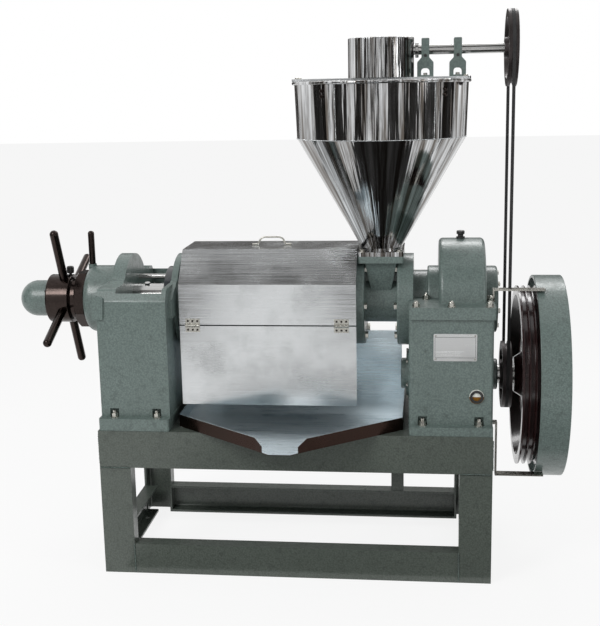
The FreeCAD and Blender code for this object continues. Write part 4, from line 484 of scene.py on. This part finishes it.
@dataclass
class ScrewHeads:
    """Screw heads with washers, stood on a surface at each place."""

    palette: Palette
    head: Head = Head.HEXAGON
    finish: str = "zinc_steel"

    def tree(self) -> GeometryTree:
        """Build the tree: one head and washer, instanced on the places.

        Returns:
            The tree, with inputs Width, Height and Washer.
        """
        made = GeometryTree("screw_heads_" + self.head.name.lower())
        made.number("Width", 0.012)
        made.number("Height", 0.005)
        made.number("Washer", 1.25)
        entry = made.begin()
        graph = made.graph
        half = graph.maths("MULTIPLY", entry.outputs["Width"], 0.5)
        height = entry.outputs["Height"]
        sides, crown = self.head.value
        washer_share = graph.maths("MULTIPLY", height, 0.12)
        body = graph.add("GeometryNodeMeshCone", {"Vertices": sides, "Radius Top": half,
                                                  "Radius Bottom": half,
                                                  "Depth": graph.maths("MULTIPLY", height, 0.8)})
        lift = graph.add("ShaderNodeCombineXYZ", {2: washer_share})
        stand = graph.add("GeometryNodeTransform", {"Geometry": body.outputs["Mesh"],
                                                    "Translation": lift.outputs[0]})
        top = graph.add("GeometryNodeMeshCone", {"Vertices": sides, "Radius Bottom": half,
                                                 "Radius Top": graph.maths("MULTIPLY", half, crown),
                                                 "Depth": graph.maths("MULTIPLY", height, 0.2)})
        lid_lift = graph.add("ShaderNodeCombineXYZ", {2: graph.maths("MULTIPLY", height, 0.92)})
        lid = graph.add("GeometryNodeTransform", {"Geometry": top.outputs["Mesh"],
                                                  "Translation": lid_lift.outputs[0]})
        ring = graph.maths("MULTIPLY", half, entry.outputs["Washer"])
        washer = graph.add("GeometryNodeMeshCone", {"Vertices": 20, "Radius Bottom": ring,
                                                    "Radius Top": graph.maths("MULTIPLY", ring, 0.96),
                                                    "Depth": washer_share})
        joined = graph.add("GeometryNodeJoinGeometry")
        for part in (stand, lid, washer):
            made.tree.links.new(part.outputs[0], joined.inputs[0])
        facing = graph.add("GeometryNodeInputNamedAttribute", {"Name": "facing"}, data_type="FLOAT_VECTOR")
        turn = graph.add("FunctionNodeAlignRotationToVector", {"Vector": facing.outputs[0]}, axis="Z")
        copies = graph.add("GeometryNodeInstanceOnPoints", {"Points": entry.outputs["Geometry"],
                                                            "Instance": joined.outputs[0],
                                                            "Rotation": turn.outputs[0]})
        made.end(copies.outputs[0], self.palette[self.finish])
        return made

    def fit(self, name: str, places: Sequence[tuple[Vector, Vector]], body: str, width: float,
            height: float, washer: float = 1.25) -> bpy.types.Object:
        """Stand the heads on their places.

        Args:
            name: The piece's name.
            places: Position on the surface and outward direction of each head.
            body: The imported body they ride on.
            width: Across the head's corners.
            height: Head height.
            washer: Washer width as a share of the head's.

        Returns:
            The heads as one piece.
        """
        values = {"Width": width, "Height": height, "Washer": washer}
        mesh = self.tree().mesh(name, placed_points(places), values)
        return piece(name, mesh, self.palette[self.finish], body)


@dataclass
class WeldBeads:
    """Hand-laid weld beads: overlapping flat drops along each joint."""

    palette: Palette
    finish: str = "weld_metal"
    slot: str = "frame_paint"

    def tree(self) -> GeometryTree:
        """Build the tree: drops along the base edges, jittered by a fixed seed.

        Returns:
            The tree, with inputs Step, Size and Seed.
        """
        made = GeometryTree("weld_beads")
        made.number("Step", 0.0032)
        made.number("Size", 0.0036)
        made.number("Seed", 7, "NodeSocketInt")
        entry = made.begin()
        graph = made.graph
        path = graph.add("GeometryNodeMeshToCurve", {"Mesh": entry.outputs["Geometry"]})
        points = graph.add("GeometryNodeCurveToPoints",
                           {"Curve": path.outputs[0], "Length": entry.outputs["Step"]}, mode="LENGTH")
        drop = graph.add("GeometryNodeMeshIcoSphere", {"Radius": entry.outputs["Size"], "Subdivisions": 1})
        flat = graph.add("GeometryNodeTransform", {"Geometry": drop.outputs[0], "Scale": (1.0, 1.0, 0.62)})
        spread = graph.add("FunctionNodeRandomValue", {2: 0.82, 3: 1.18, "Seed": entry.outputs["Seed"]},
                           data_type="FLOAT")
        copies = graph.add("GeometryNodeInstanceOnPoints", {"Points": points.outputs[0],
                                                            "Instance": flat.outputs[0],
                                                            "Rotation": points.outputs["Rotation"],
                                                            "Scale": spread.outputs[1]})
        made.end(copies.outputs[0], self.palette[self.finish])
        return made

    def lay(self, name: str, runs: Sequence[Sequence[Point]], body: str,
            size: float) -> bpy.types.Object:
        """Lay beads along open runs.

        Args:
            name: The piece's name.
            runs: Point lists, one per bead.
            body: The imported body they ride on.
            size: Radius of a drop.

        Returns:
            The beads as one piece.
        """
        points: list[Point] = []
        edges: list[tuple[int, int]] = []
        for run in runs:
            first = len(points)
            points.extend(run)
            edges.extend((first + i, first + i + 1) for i in range(len(run) - 1))
        base = bpy.data.meshes.new(name + "_runs")
        base.from_pydata(points, edges, [])
        mesh = self.tree().mesh(name, base, {"Step": size * 0.9, "Size": size})
        for polygon in mesh.polygons:
            polygon.use_smooth = True
        return piece(name, mesh, self.palette[self.finish], body)


@dataclass
class ScrewThreads:
    """Thread crests wound on a round end, as a helix of small section."""

    palette: Palette
    finish: str = "zinc_steel"

    def tree(self) -> GeometryTree:
        """Build the tree: a helix swept by a small section, instanced on the places.

        Returns:
            The tree, with inputs Radius, Pitch and Turns.
        """
        made = GeometryTree("screw_threads")
        made.number("Radius", 0.008)
        made.number("Pitch", 0.002)
        made.number("Turns", 5.0)
        entry = made.begin()
        graph = made.graph
        length = graph.maths("MULTIPLY", entry.outputs["Pitch"], entry.outputs["Turns"])
        helix = graph.add("GeometryNodeCurveSpiral", {"Resolution": 16, "Rotations": entry.outputs["Turns"],
                                                      "Start Radius": entry.outputs["Radius"],
                                                      "End Radius": entry.outputs["Radius"],
                                                      "Height": length})
        crest = graph.maths("MULTIPLY", entry.outputs["Pitch"], 0.34)
        section = graph.add("GeometryNodeCurvePrimitiveCircle", {"Resolution": 4, "Radius": crest})
        swept = graph.add("GeometryNodeCurveToMesh", {"Curve": helix.outputs[0],
                                                      "Profile Curve": section.outputs[0],
                                                      "Fill Caps": True})
        facing = graph.add("GeometryNodeInputNamedAttribute", {"Name": "facing"}, data_type="FLOAT_VECTOR")
        turn = graph.add("FunctionNodeAlignRotationToVector", {"Vector": facing.outputs[0]}, axis="Z")
        copies = graph.add("GeometryNodeInstanceOnPoints", {"Points": entry.outputs["Geometry"],
                                                            "Instance": swept.outputs[0],
                                                            "Rotation": turn.outputs[0]})
        made.end(copies.outputs[0], self.palette[self.finish])
        return made

    def cut(self, name: str, places: Sequence[tuple[Vector, Vector]], body: str, radius: float,
            pitch: float, turns: float) -> bpy.types.Object:
        """Wind threads at each place.

        Args:
            name: The piece's name.
            places: Start of the thread and its direction.
            body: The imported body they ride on.
            radius: Radius at the crest's middle.
            pitch: Advance of one turn.
            turns: Number of turns.

        Returns:
            The threads as one piece.
        """
        values = {"Radius": radius, "Pitch": pitch, "Turns": turns}
        mesh = self.tree().mesh(name, placed_points(places), values)
        return piece(name, mesh, self.palette[self.finish], body)


def ring_places(centre: Vector, axis: Vector, radius: float, count: int, start: float = 0.0) -> list:
    """Places round a circle, each facing along the axis.

    Args:
        centre: Circle centre.
        axis: Outward direction of the face.
        radius: Circle radius.
        count: Number of places.
        start: First angle in degrees.

    Returns:
        Position and direction pairs.
    """
    side = axis.orthogonal().normalized()
    across = axis.cross(side).normalized()
    places = []
    for index in range(count):
        angle = math.radians(start + 360.0 * index / count)
        places.append((centre + (side * math.cos(angle) + across * math.sin(angle)) * radius, axis.copy()))
    return places


# ------------------------------------------------------------------ sub-assemblies
@dataclass
class BaseFrame:
    """Welded channel frame: paint and weld beads."""

    palette: Palette
    nodes: tuple[str, ...] = ("top_rail_front", "top_rail_rear", "top_end_rails", "cross_members",
                              "front_legs", "rear_legs", "floor_rails", "floor_side_rails", "rear_post")
    bead: float = 0.0032
    leg_width: float = 0.100
    rear_leg_width: float = 0.048

    def build(self) -> None:
        """Dress the channels and lay the beads at their joints."""
        # The frame's paint is darker than the green paint: painted shade.
        for node in self.nodes:
            self.palette.dress(node, "frame_paint")
        low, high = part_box("front_legs")
        rail_low, rail_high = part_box("top_rail_front")
        leg = self.leg_width
        floor_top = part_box("floor_rails")[1].z
        runs: list[Sequence[Point]] = []
        for side in (-1, 1):
            y = side * abs(low.y)
            for x0, x1, joint in ((low.x, low.x + leg, low.x + leg), (high.x - leg, high.x, high.x - leg)):
                runs.append([(x0 + 0.004, y, high.z), (x1 - 0.004, y, high.z)])
                runs.append([(joint, y, 0.006), (joint, y, floor_top - 0.003)])
        reach = abs(low.y) - self.rear_leg_width
        for x in (low.x, high.x):
            for y in (-reach, reach):
                runs.append([(x, y, 0.008), (x, y, floor_top - 0.006)])
        joint_y = abs(low.y) - 0.0055
        for x in (rail_low.x, rail_high.x):
            for y in (-1, 1):
                runs.append([(x, y * joint_y, high.z + 0.014), (x, y * joint_y, rail_high.z - 0.014)])
        WeldBeads(self.palette).lay("frame_welds", runs, ROOT, self.bead)


@dataclass
class Pedestal:
    """Cast pedestal with its cake window, foot studs and the threads on its four studs."""

    palette: Palette
    stud_radius: float = 0.006
    stud_pitch: float = 0.00175
    stud_inset: float = 0.01247
    column_step: float = 0.136
    thread_length: float = 0.0082

    def build(self) -> None:
        """Dress the casting and cut threads on the studs."""
        self.palette.dress("pedestal", "hammered_paint")
        self.palette.dress("foot_studs", "zinc_steel")
        low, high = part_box("foot_studs")
        first = low.x + self.stud_inset
        starts = [(Vector((x, y, high.z - self.thread_length - 0.0005)), Vector((0, 0, 1)))
                  for x in (first, first + self.column_step)
                  for y in (low.y + self.stud_inset, high.y - self.stud_inset)]
        turns = self.thread_length / self.stud_pitch
        threads = ScrewThreads(self.palette)
        threads.cut("pedestal_stud_threads", starts, ROOT, self.stud_radius, self.stud_pitch, turns)


@dataclass
class Adjuster:
    """Cake adjuster at the left end: housing, locknut, hub, levers and cap."""

    palette: Palette

    def build(self) -> None:
        """Dress the turned pieces and add their screws."""
        for node in ("thrust_housing", "end_cap"):
            self.palette.dress(node, "hammered_paint")
        for node in ("locknut", "lever_hub", "hub_levers", "lock_rod"):
            self.palette.dress(node, "polished_steel")
        self.palette.dress("thumb_screw", "black_oxide")
        self.palette.dress("choke_ring", "dark_paint")
        for node in ("adjusting_screw", "tie_bars", "main_shaft"):
            self.palette.dress(node, "machined_steel")
        self.housing_screws()
        self.thumb_knurl()

    def housing_screws(self) -> None:
        """Set screws in the hub's face round the cap."""
        centre = Vector((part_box("lever_hub")[0].x, 0, SHAFT_Z))
        places = ring_places(centre, Vector((-1, 0, 0)), 0.070, 6, 15.0)
        heads = ScrewHeads(self.palette, Head.SOCKET, "black_oxide")
        heads.fit("cap_screws", places, "adjuster_hub", 0.009, 0.003, 1.1)

    def thumb_knurl(self) -> None:
        """Ribs round the thumb screw's head."""
        low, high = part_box("thumb_screw")
        centre = (low + high) / 2
        radius = (high.x - low.x) / 2 - 0.0008
        mesh = bpy.data.meshes.new("thumb_ribs")
        points: list[Point] = []
        faces: list[tuple[int, ...]] = []
        count = 22
        bottom = high.z - 0.018
        top = high.z - 0.004
        for index in range(count):
            angle = 2 * math.pi * index / count
            step = 0.09
            first = len(points)
            for turn, reach in ((-step, 0.0), (0.0, 0.0014), (step, 0.0)):
                x = centre.x + (radius + reach) * math.cos(angle + turn)
                y = centre.y + (radius + reach) * math.sin(angle + turn)
                points += [(x, y, bottom), (x, y, top)]
            faces += [(first, first + 2, first + 3, first + 1),
                      (first + 2, first + 4, first + 5, first + 3),
                      (first, first + 4, first + 2), (first + 1, first + 3, first + 5),
                      (first, first + 1, first + 5, first + 4)]
        mesh.from_pydata(points, [], faces)
        piece("thumb_ribs", mesh, self.palette["black_oxide"], "adjuster_hub")


@dataclass
class PressCage:
    """Cage with its worms, bars and seam bolts."""

    palette: Palette

    def build(self) -> None:
        """Dress the cage and what turns in it."""
        for node in ("cage_upper", "cage_lower"):
            self.palette.dress(node, "hammered_paint")
        for node in ("cage_bars", "worm_string", "main_gear", "input_shaft"):
            self.palette.dress(node, "machined_steel")
        self.palette.dress("cage_bolts", "zinc_steel")


@dataclass
class FeedThroat:
    """Cast throat between the cage and the gearbox."""

    palette: Palette

    def build(self) -> None:
        """Dress the casting and screw the hopper's flange to it."""
        self.palette.dress("feed_throat", "hammered_paint")
        self.palette.dress("throat_bolts", "zinc_steel")
        hopper_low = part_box("hopper")[0]
        x0, x1 = self.flange_columns()
        top = hopper_low.z + 0.014
        places = [(Vector((x, y, top)), Vector((0, 0, 1))) for x in (x0, x1) for y in (-0.097, 0.097)]
        ScrewHeads(self.palette, Head.HEXAGON).fit("hopper_flange_screws", places, ROOT, 0.016, 0.007)

    @staticmethod
    def flange_columns() -> tuple[float, float]:
        """Lengthwise places of the hopper flange screws."""
        low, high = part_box("hopper")
        middle = (low.x + high.x) / 2
        return middle - 0.058, middle + 0.058


@dataclass
class Hopper:
    """Spun hopper with its bridge, gear can and stirrer drive."""

    palette: Palette
    rivet: float = 0.011
    seam: float = 0.0016
    seam_turns: tuple[float, ...] = (-118.0, -52.0, 62.0)

    def build(self) -> None:
        """Dress the sheet work and add seams, rivets and screws."""
        for node in ("hopper", "gear_can"):
            self.palette.dress(node, "mirror_stainless")
        self.palette.dress("hopper_bridge", "brushed_stainless")
        for node in ("bearing_stand_inner", "bearing_stand_outer"):
            self.palette.dress(node, "hammered_paint")
        for node in ("feed_shaft", "bevel_wheel", "bevel_crown", "stirrer"):
            self.palette.dress(node, "machined_steel")
        for node in ("upper_pulley", "lower_pulley"):
            self.palette.dress(node, "cast_pulley")
        self.palette.dress("feed_belt", "belt_rubber")
        self.rivets()
        self.seams()
        self.bridge_screws()

    def centre(self) -> Vector:
        """Middle of the rim."""
        low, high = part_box("hopper")
        return Vector(((low.x + high.x) / 2, 0, high.z - 0.005))

    def rivets(self) -> None:
        """Rivet pairs below the rim where the bridge's lugs are fixed."""
        centre = self.centre()
        radius = 0.2707
        places = []
        for turn in (-128.0, -44.0, 44.0, 128.0):
            angle = math.radians(turn)
            out = Vector((math.cos(angle), math.sin(angle), 0))
            for drop in (0.024, 0.040):
                places.append((centre + out * radius + Vector((0, 0, -drop)), out))
        heads = ScrewHeads(self.palette, Head.ROUND, "polished_steel")
        heads.fit("rim_rivets", places, ROOT, self.rivet, 0.004, 1.05)

    def seams(self) -> None:
        """Lap seams of the band and the cone, and the soldered joint between them."""
        centre = self.centre()
        band_top = centre.z - 0.006
        fold = centre.z - 0.169
        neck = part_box("hopper")[0].z + 0.021
        runs: list[list[Point]] = []
        for turn in self.seam_turns:
            angle = math.radians(turn)
            run = []
            for radius, z in ((0.2713, band_top), (0.2655, fold + 0.001)):
                run.append((centre.x + radius * math.cos(angle), radius * math.sin(angle), z))
            runs.append(run)
        angle = math.radians(70.0)
        runs.append([(centre.x + r * math.cos(angle), r * math.sin(angle), z)
                     for r, z in ((0.2655, fold), (0.0668, neck))])
        ring = []
        for index in range(73):
            angle = 2 * math.pi * index / 72
            ring.append((centre.x + 0.2653 * math.cos(angle), 0.2653 * math.sin(angle), fold))
        runs.append(ring)
        beads = WeldBeads(self.palette, "brushed_stainless", "mirror_stainless")
        beads.lay("hopper_seams", runs, ROOT, self.seam)

    def bridge_screws(self) -> None:
        """Screws of the bearing stands, of their collars and of the bridge's ends."""
        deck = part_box("hopper_bridge")[1].z
        up = Vector((0, 0, 1))
        places = []
        for node in ("bearing_stand_inner", "bearing_stand_outer"):
            low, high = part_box(node)
            middle = (low.x + high.x) / 2
            places += [(Vector((middle, y, deck + 0.005)), up) for y in (low.y + 0.009, high.y - 0.009)]
        ScrewHeads(self.palette, Head.HEXAGON).fit("stand_screws", places, ROOT, 0.012, 0.006)
        low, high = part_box("hopper_bridge")
        ends = [(Vector((x, y, deck)), up) for x in (low.x + 0.016, high.x - 0.016) for y in (-0.03, 0.03)]
        ScrewHeads(self.palette, Head.ROUND).fit("bridge_screws", ends, ROOT, 0.014, 0.005)
        stands = []
        for node in ("bearing_stand_inner", "bearing_stand_outer"):
            low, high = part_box(node)
            middle = (low.x + high.x) / 2
            stands.append((Vector((middle, low.y, high.z - 0.052)), Vector((0, -1, 0))))
        heads = ScrewHeads(self.palette, Head.SOCKET, "black_oxide")
        heads.fit("collar_screws", stands, ROOT, 0.009, 0.003, 1.1)


@dataclass
class Gearbox:
    """Gear case with its caps, plate and glass."""

    palette: Palette

    def build(self) -> None:
        """Dress the castings and add cap screws and plate rivets."""
        for node in ("gearbox_case", "gearbox_cover", "input_caps"):
            self.palette.dress(node, "hammered_paint")
        self.palette.dress("cover_bolts", "zinc_steel")
        self.palette.dress("oil_plug", "black_oxide")
        self.palette.dress("sight_glass", "sight_lens")
        self.palette.dress("name_plate", "plate_foil")
        self.plate()
        self.glass_ring()
        self.cap_screws()

    def plate(self) -> None:
        """Four rivets and an embossed border on the bare plate."""
        low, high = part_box("name_plate")
        inset = 0.006
        out = Vector((0, -1, 0))
        places = [(Vector((x, low.y, z)), out) for x in (low.x + inset, high.x - inset)
                  for z in (low.z + inset, high.z - inset)]
        ScrewHeads(self.palette, Head.ROUND).fit("plate_rivets", places, ROOT, 0.005, 0.0015, 1.05)
        border = 0.004
        rim = 0.0009
        mesh = bpy.data.meshes.new("plate_border")
        points: list[Point] = []
        for inner in (0.0, rim):
            for y in (low.y - 0.0003, low.y + 0.0004):
                left, right = low.x + border + inner, high.x - border - inner
                bottom, top = low.z + border + inner + 0.006, high.z - border - inner - 0.006
                points += [(left, y, bottom), (right, y, bottom), (right, y, top), (left, y, top)]
        faces = []
        for side in range(4):
            ahead = (side + 1) % 4
            faces += [(side, ahead, ahead + 8, side + 8), (side + 4, side + 12, ahead + 12, ahead + 4),
                      (side, side + 4, ahead + 4, ahead), (side + 8, ahead + 8, ahead + 12, side + 12)]
        mesh.from_pydata(points, [], faces)
        piece("plate_border", mesh, self.palette["dark_paint"], ROOT)

    def glass_ring(self) -> None:
        """Threaded bezel round the sight glass."""
        low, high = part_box("sight_glass")
        centre = (low + high) / 2
        outer = (high.x - low.x) / 2 - 0.0002
        profile = ((outer - 0.009, -0.0005), (outer, -0.0005), (outer, 0.0052), (outer - 0.003, 0.0083),
                   (outer - 0.009, 0.0083))
        points: list[Point] = []
        faces: list[tuple[int, ...]] = []
        steps = 40
        face_y = low.y + 0.008
        for index in range(steps):
            angle = 2 * math.pi * index / steps
            for radius, out in profile:
                points.append((centre.x + radius * math.cos(angle), face_y - out,
                               centre.z + radius * math.sin(angle)))
        count = len(profile)
        for index in range(steps):
            for k in range(count):
                a, b = index * count + k, index * count + (k + 1) % count
                c, d = (index + 1) % steps * count + (k + 1) % count, (index + 1) % steps * count + k
                faces.append((a, b, c, d))
        mesh = bpy.data.meshes.new("sight_bezel")
        mesh.from_pydata(points, [], faces)
        piece("sight_bezel", mesh, self.palette["black_oxide"], ROOT)

    def cap_screws(self) -> None:
        """Screws round the input caps and the end boss."""
        left = Vector((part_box("gearbox_case")[0].x + 0.002, 0, INPUT_Z))
        right = Vector((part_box("input_caps")[1].x - 0.020, 0, INPUT_Z))
        places = ring_places(left, Vector((-1, 0, 0)), 0.075, 6, 30.0)
        places += ring_places(right, Vector((1, 0, 0)), 0.075, 6, 30.0)
        ScrewHeads(self.palette, Head.HEXAGON).fit("input_cap_screws", places, ROOT, 0.013, 0.005)
        boss = Vector((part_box("gearbox_cover")[1].x, 0, SHAFT_Z))
        ends = ring_places(boss, Vector((1, 0, 0)), 0.084, 6, 30.0)
        ScrewHeads(self.palette, Head.HEXAGON).fit("end_boss_screws", ends, ROOT, 0.016, 0.006)


@dataclass
class Drive:
    """Drive pulley inside its guard band."""

    palette: Palette

    def build(self) -> None:
        """Dress the pulley and band and bolt the brackets."""
        self.palette.dress("drive_pulley", "pulley_paint")
        self.palette.dress("guard_band", "hammered_paint")
        self.palette.dress("guard_brackets", "zinc_steel")
        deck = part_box("gearbox_cover")[0].z + 0.028
        place = (Vector((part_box("guard_brackets")[0].x + 0.009, -0.130, deck)), Vector((0, 0, 1)))
        ScrewHeads(self.palette, Head.HEXAGON).fit("bracket_screw", [place], ROOT, 0.014, 0.007)


@dataclass
class Hood:
    """Folded hood with its hinged flap."""

    palette: Palette
    screw: float = 0.0062

    def build(self) -> None:
        """Dress the sheet and screw the hinges on."""
        for node in ("hood", "hood_flap"):
            self.palette.dress(node, "brushed_stainless")
        for node in ("hood_leaves", "flap_leaves", "hood_handle"):
            self.palette.dress(node, "zinc_steel")
        self.hinge_screws("hood_leaves", "hood_hinge_screws", ROOT, 0.014)
        self.hinge_screws("flap_leaves", "flap_hinge_screws", "flap", -0.014)

    def hinge_screws(self, node: str, name: str, body: str, rise: float) -> None:
        """Three screws in each hinge leaf.

        Args:
            node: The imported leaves.
            name: The screws' piece name.
            body: The body they ride on.
            rise: Height of the row from the hinge pin.
        """
        low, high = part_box(node)
        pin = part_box("hood_flap")[1].z + 0.002
        face = low.y + 0.0074
        width = 0.046
        places = []
        for middle in (low.x + width / 2, high.x - width / 2):
            for shift in (-0.015, 0.0, 0.015):
                places.append((Vector((middle + shift, face, pin + rise)), Vector((0, -1, 0))))
        heads = ScrewHeads(self.palette, Head.ROUND, "polished_steel")
        heads.fit(name, places, body, self.screw, 0.0022, 1.05)


@dataclass
class OilTray:
    """Folded tray: painted light inside, painted shade on the outside of its walls."""

    palette: Palette

    def build(self) -> None:
        """Dress the tray, with a second material on the outside of its walls."""
        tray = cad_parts["oil_tray"]
        self.palette.dress("oil_tray", "tray_stainless_painted_light")
        # The second material paints shade on the outward, upright faces picked below.
        tray.data.materials.append(self.palette["tray_skirt_painted_shade"])
        low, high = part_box("oil_tray")
        middle = Vector(((low.x + high.x) / 2, 0, 0))
        top = low.z + 0.0405
        for polygon in tray.data.polygons:
            centre = polygon.center
            outward = polygon.normal.dot((centre - middle).normalized()) > 0.35
            upright = abs(polygon.normal.z) < 0.3
            if outward and upright and centre.z < top and centre.y < 0.18:
                polygon.material_index = 1


# ------------------------------------------------------------------ studio
@dataclass
class Studio:
    """Pale floor, soft lamps, dark flags for the bright metal and the camera."""

    eye: Point = (0.4080, -3.4598, 1.5196)
    yaw: float = 0.117
    pitch: float = 0.202
    roll: float = -0.02
    lens: float = 62.34
    shift: tuple[float, float] = (0.0, -0.0032)
    fill: float = 0.5
    reach: float = 3.6
    columns: tuple[tuple[float, float], ...] = ((-84.0, 1.5), (-52.0, 1.2), (-25.0, 0.7), (-4.0, 0.4),
                                                (17.0, 0.9), (42.0, 1.3), (68.0, 1.2), (96.0, 1.6))

    def build(self) -> None:
        """Set the floor, the world, the lamps and the camera."""
        self.floor()
        self.world()
        self.lamps()
        self.flags()
        self.camera()
        bpy.context.scene.view_settings.view_transform = "Standard"

    def shown_rays(self, graph: Graph) -> bpy.types.NodeSocket:
        """One for rays that should see a white studio: camera, glossy and transmission rays."""
        path = graph.add("ShaderNodeLightPath")
        first = graph.maths("MAXIMUM", path.outputs["Is Camera Ray"], path.outputs["Is Glossy Ray"])
        return graph.maths("MAXIMUM", first, path.outputs["Is Transmission Ray"])

    def floor(self) -> None:
        """A wide pale floor that keeps a soft shadow."""
        material = bpy.data.materials.new("studio_floor")
        material.use_nodes = True
        graph = Graph(material.node_tree)
        material.node_tree.nodes.clear()
        matt = graph.add("ShaderNodeBsdfDiffuse", {"Color": (0.86, 0.86, 0.86, 1.0)})
        glow = graph.add("ShaderNodeEmission", {"Color": (1.0, 1.0, 1.0, 1.0), "Strength": 1.0})
        share = graph.maths("MULTIPLY", self.shown_rays(graph), 0.86)
        mixed = graph.add("ShaderNodeMixShader", {0: share, 1: matt.outputs[0], 2: glow.outputs[0]})
        graph.add("ShaderNodeOutputMaterial", {"Surface": mixed.outputs[0]})
        mesh = bpy.data.meshes.new("studio_floor")
        reach = 30.0
        corners = [(-reach, -reach, 0), (reach, -reach, 0), (reach, reach, 0), (-reach, reach, 0)]
        mesh.from_pydata(corners, [], [(0, 1, 2, 3)])
        mesh.materials.append(material)
        floor = bpy.data.objects.new("studio_floor", mesh)
        bpy.context.scene.collection.objects.link(floor)

    def world(self) -> None:
        """A plain grey world that is seen as white."""
        world = bpy.data.worlds.new("studio")
        bpy.context.scene.world = world
        world.use_nodes = True
        graph = Graph(world.node_tree)
        world.node_tree.nodes.clear()
        level = graph.maths("MAXIMUM", self.shown_rays(graph), self.fill)
        shine = graph.add("ShaderNodeBackground", {"Color": (1.0, 1.0, 1.0, 1.0), "Strength": level})
        graph.add("ShaderNodeOutputWorld", {"Surface": shine.outputs[0]})

    def lamp(self, name: str, place: Point, target: Point, size: tuple[float, float], power: float) -> None:
        """One soft box.

        Args:
            name: The lamp's name.
            place: Where it stands.
            target: What it points at.
            size: Width and height.
            power: Watts.
        """
        data = bpy.data.lights.new(name, "AREA")
        data.shape = "RECTANGLE"
        data.size, data.size_y = size
        data.energy = power
        obj = bpy.data.objects.new(name, data)
        aim = Vector(target) - Vector(place)
        obj.matrix_world = Matrix.Translation(place) @ aim.to_track_quat("-Z", "Y").to_matrix().to_4x4()
        bpy.context.scene.collection.objects.link(obj)

    def lamps(self) -> None:
        """Key from the upper left, weak fill from the right, top light behind."""
        self.lamp("key", (-2.2, -3.0, 3.4), (0.0, 0.0, 0.8), (1.6, 1.6), 84.0)
        self.lamp("fill", (3.4, -2.0, 2.0), (0.2, 0.0, 0.9), (1.4, 1.4), 22.0)
        self.lamp("back", (0.4, 2.4, 3.2), (0.0, 0.0, 1.0), (2.0, 0.8), 30.0)

    def flag(self, name: str, place: Point, target: Point, size: tuple[float, float], shade: float) -> None:
        """One dark card that only bright metal sees.

        Args:
            name: The card's name.
            place: Where it stands.
            target: What it faces.
            size: Width and height.
            shade: Its grey.
        """
        material = bpy.data.materials.new(name)
        material.use_nodes = True
        shader = material.node_tree.nodes["Principled BSDF"]
        shader.inputs["Base Color"].default_value = (shade, shade * 0.93, shade * 0.88, 1.0)
        shader.inputs["Roughness"].default_value = 0.9
        width, height = size[0] / 2, size[1] / 2
        mesh = bpy.data.meshes.new(name)
        corners = [(-width, -height, 0), (width, -height, 0), (width, height, 0), (-width, height, 0)]
        mesh.from_pydata(corners, [], [(0, 1, 2, 3)])
        mesh.materials.append(material)
        aim = Vector(target) - Vector(place)
        mesh.transform(Matrix.Translation(place) @ aim.to_track_quat("Z", "Y").to_matrix().to_4x4())
        card = bpy.data.objects.new(name, mesh)
        bpy.context.scene.collection.objects.link(card)
        card.visible_camera = False
        card.visible_diffuse = False
        card.visible_shadow = False

    def flags(self) -> None:
        """Cards that give the polished sheet its dark bands."""
        heart = (0.27, 0.0, 1.3)
        for index, (turn, width) in enumerate(self.columns):
            angle = math.radians(turn)
            place = (heart[0] + self.reach * math.sin(angle), -self.reach * math.cos(angle), 1.6)
            self.flag(f"flag_column_{index}", place, heart, (width, 4.4), 0.03)
        self.flag("flag_low", (0.3, -1.25, 0.01), (0.3, -1.25, 1.0), (1.7, 1.9), 0.02)
        self.flag("flag_above", (-0.3, -2.2, 4.4), (-0.1, -0.2, 0.9), (3.6, 2.2), 0.06)
        self.flag("flag_behind", (-0.2, 4.2, 1.8), (0.0, 0.0, 1.0), (6.0, 1.7), 0.10)

    def camera(self) -> None:
        """The camera at the press's front, a little to the right and above."""
        ahead = Vector((-math.sin(self.yaw), math.cos(self.yaw), 0))
        right = Vector((math.cos(self.yaw), math.sin(self.yaw), 0))
        up = Vector((0, 0, 1))
        aim = ahead * math.cos(self.pitch) - up * math.sin(self.pitch)
        top = up * math.cos(self.pitch) + ahead * math.sin(self.pitch)
        side = right * math.cos(self.roll) + top * math.sin(self.roll)
        crown = top * math.cos(self.roll) - right * math.sin(self.roll)
        turn = Matrix((side, crown, -aim)).transposed().to_4x4()
        data = bpy.data.cameras.new("camera")
        data.lens = self.lens
        data.shift_x, data.shift_y = self.shift
        data.clip_end = 100.0
        obj = bpy.data.objects.new("camera", data)
        obj.matrix_world = Matrix.Translation(self.eye) @ turn
        bpy.context.scene.collection.objects.link(obj)
        bpy.context.scene.camera = obj


def main() -> None:
    """Build every sub-assembly's looks and the studio."""
    logging.basicConfig(level=logging.INFO, format="%(name)s %(message)s")
    palette = Palette()
    for part in (BaseFrame, Pedestal, Adjuster, PressCage, FeedThroat, Hopper, Gearbox, Drive, Hood, OilTray):
        LOG.info("building %s", part.__name__)
        part(palette).build()
    Studio().build()


if __name__ == "__main__":
    main()
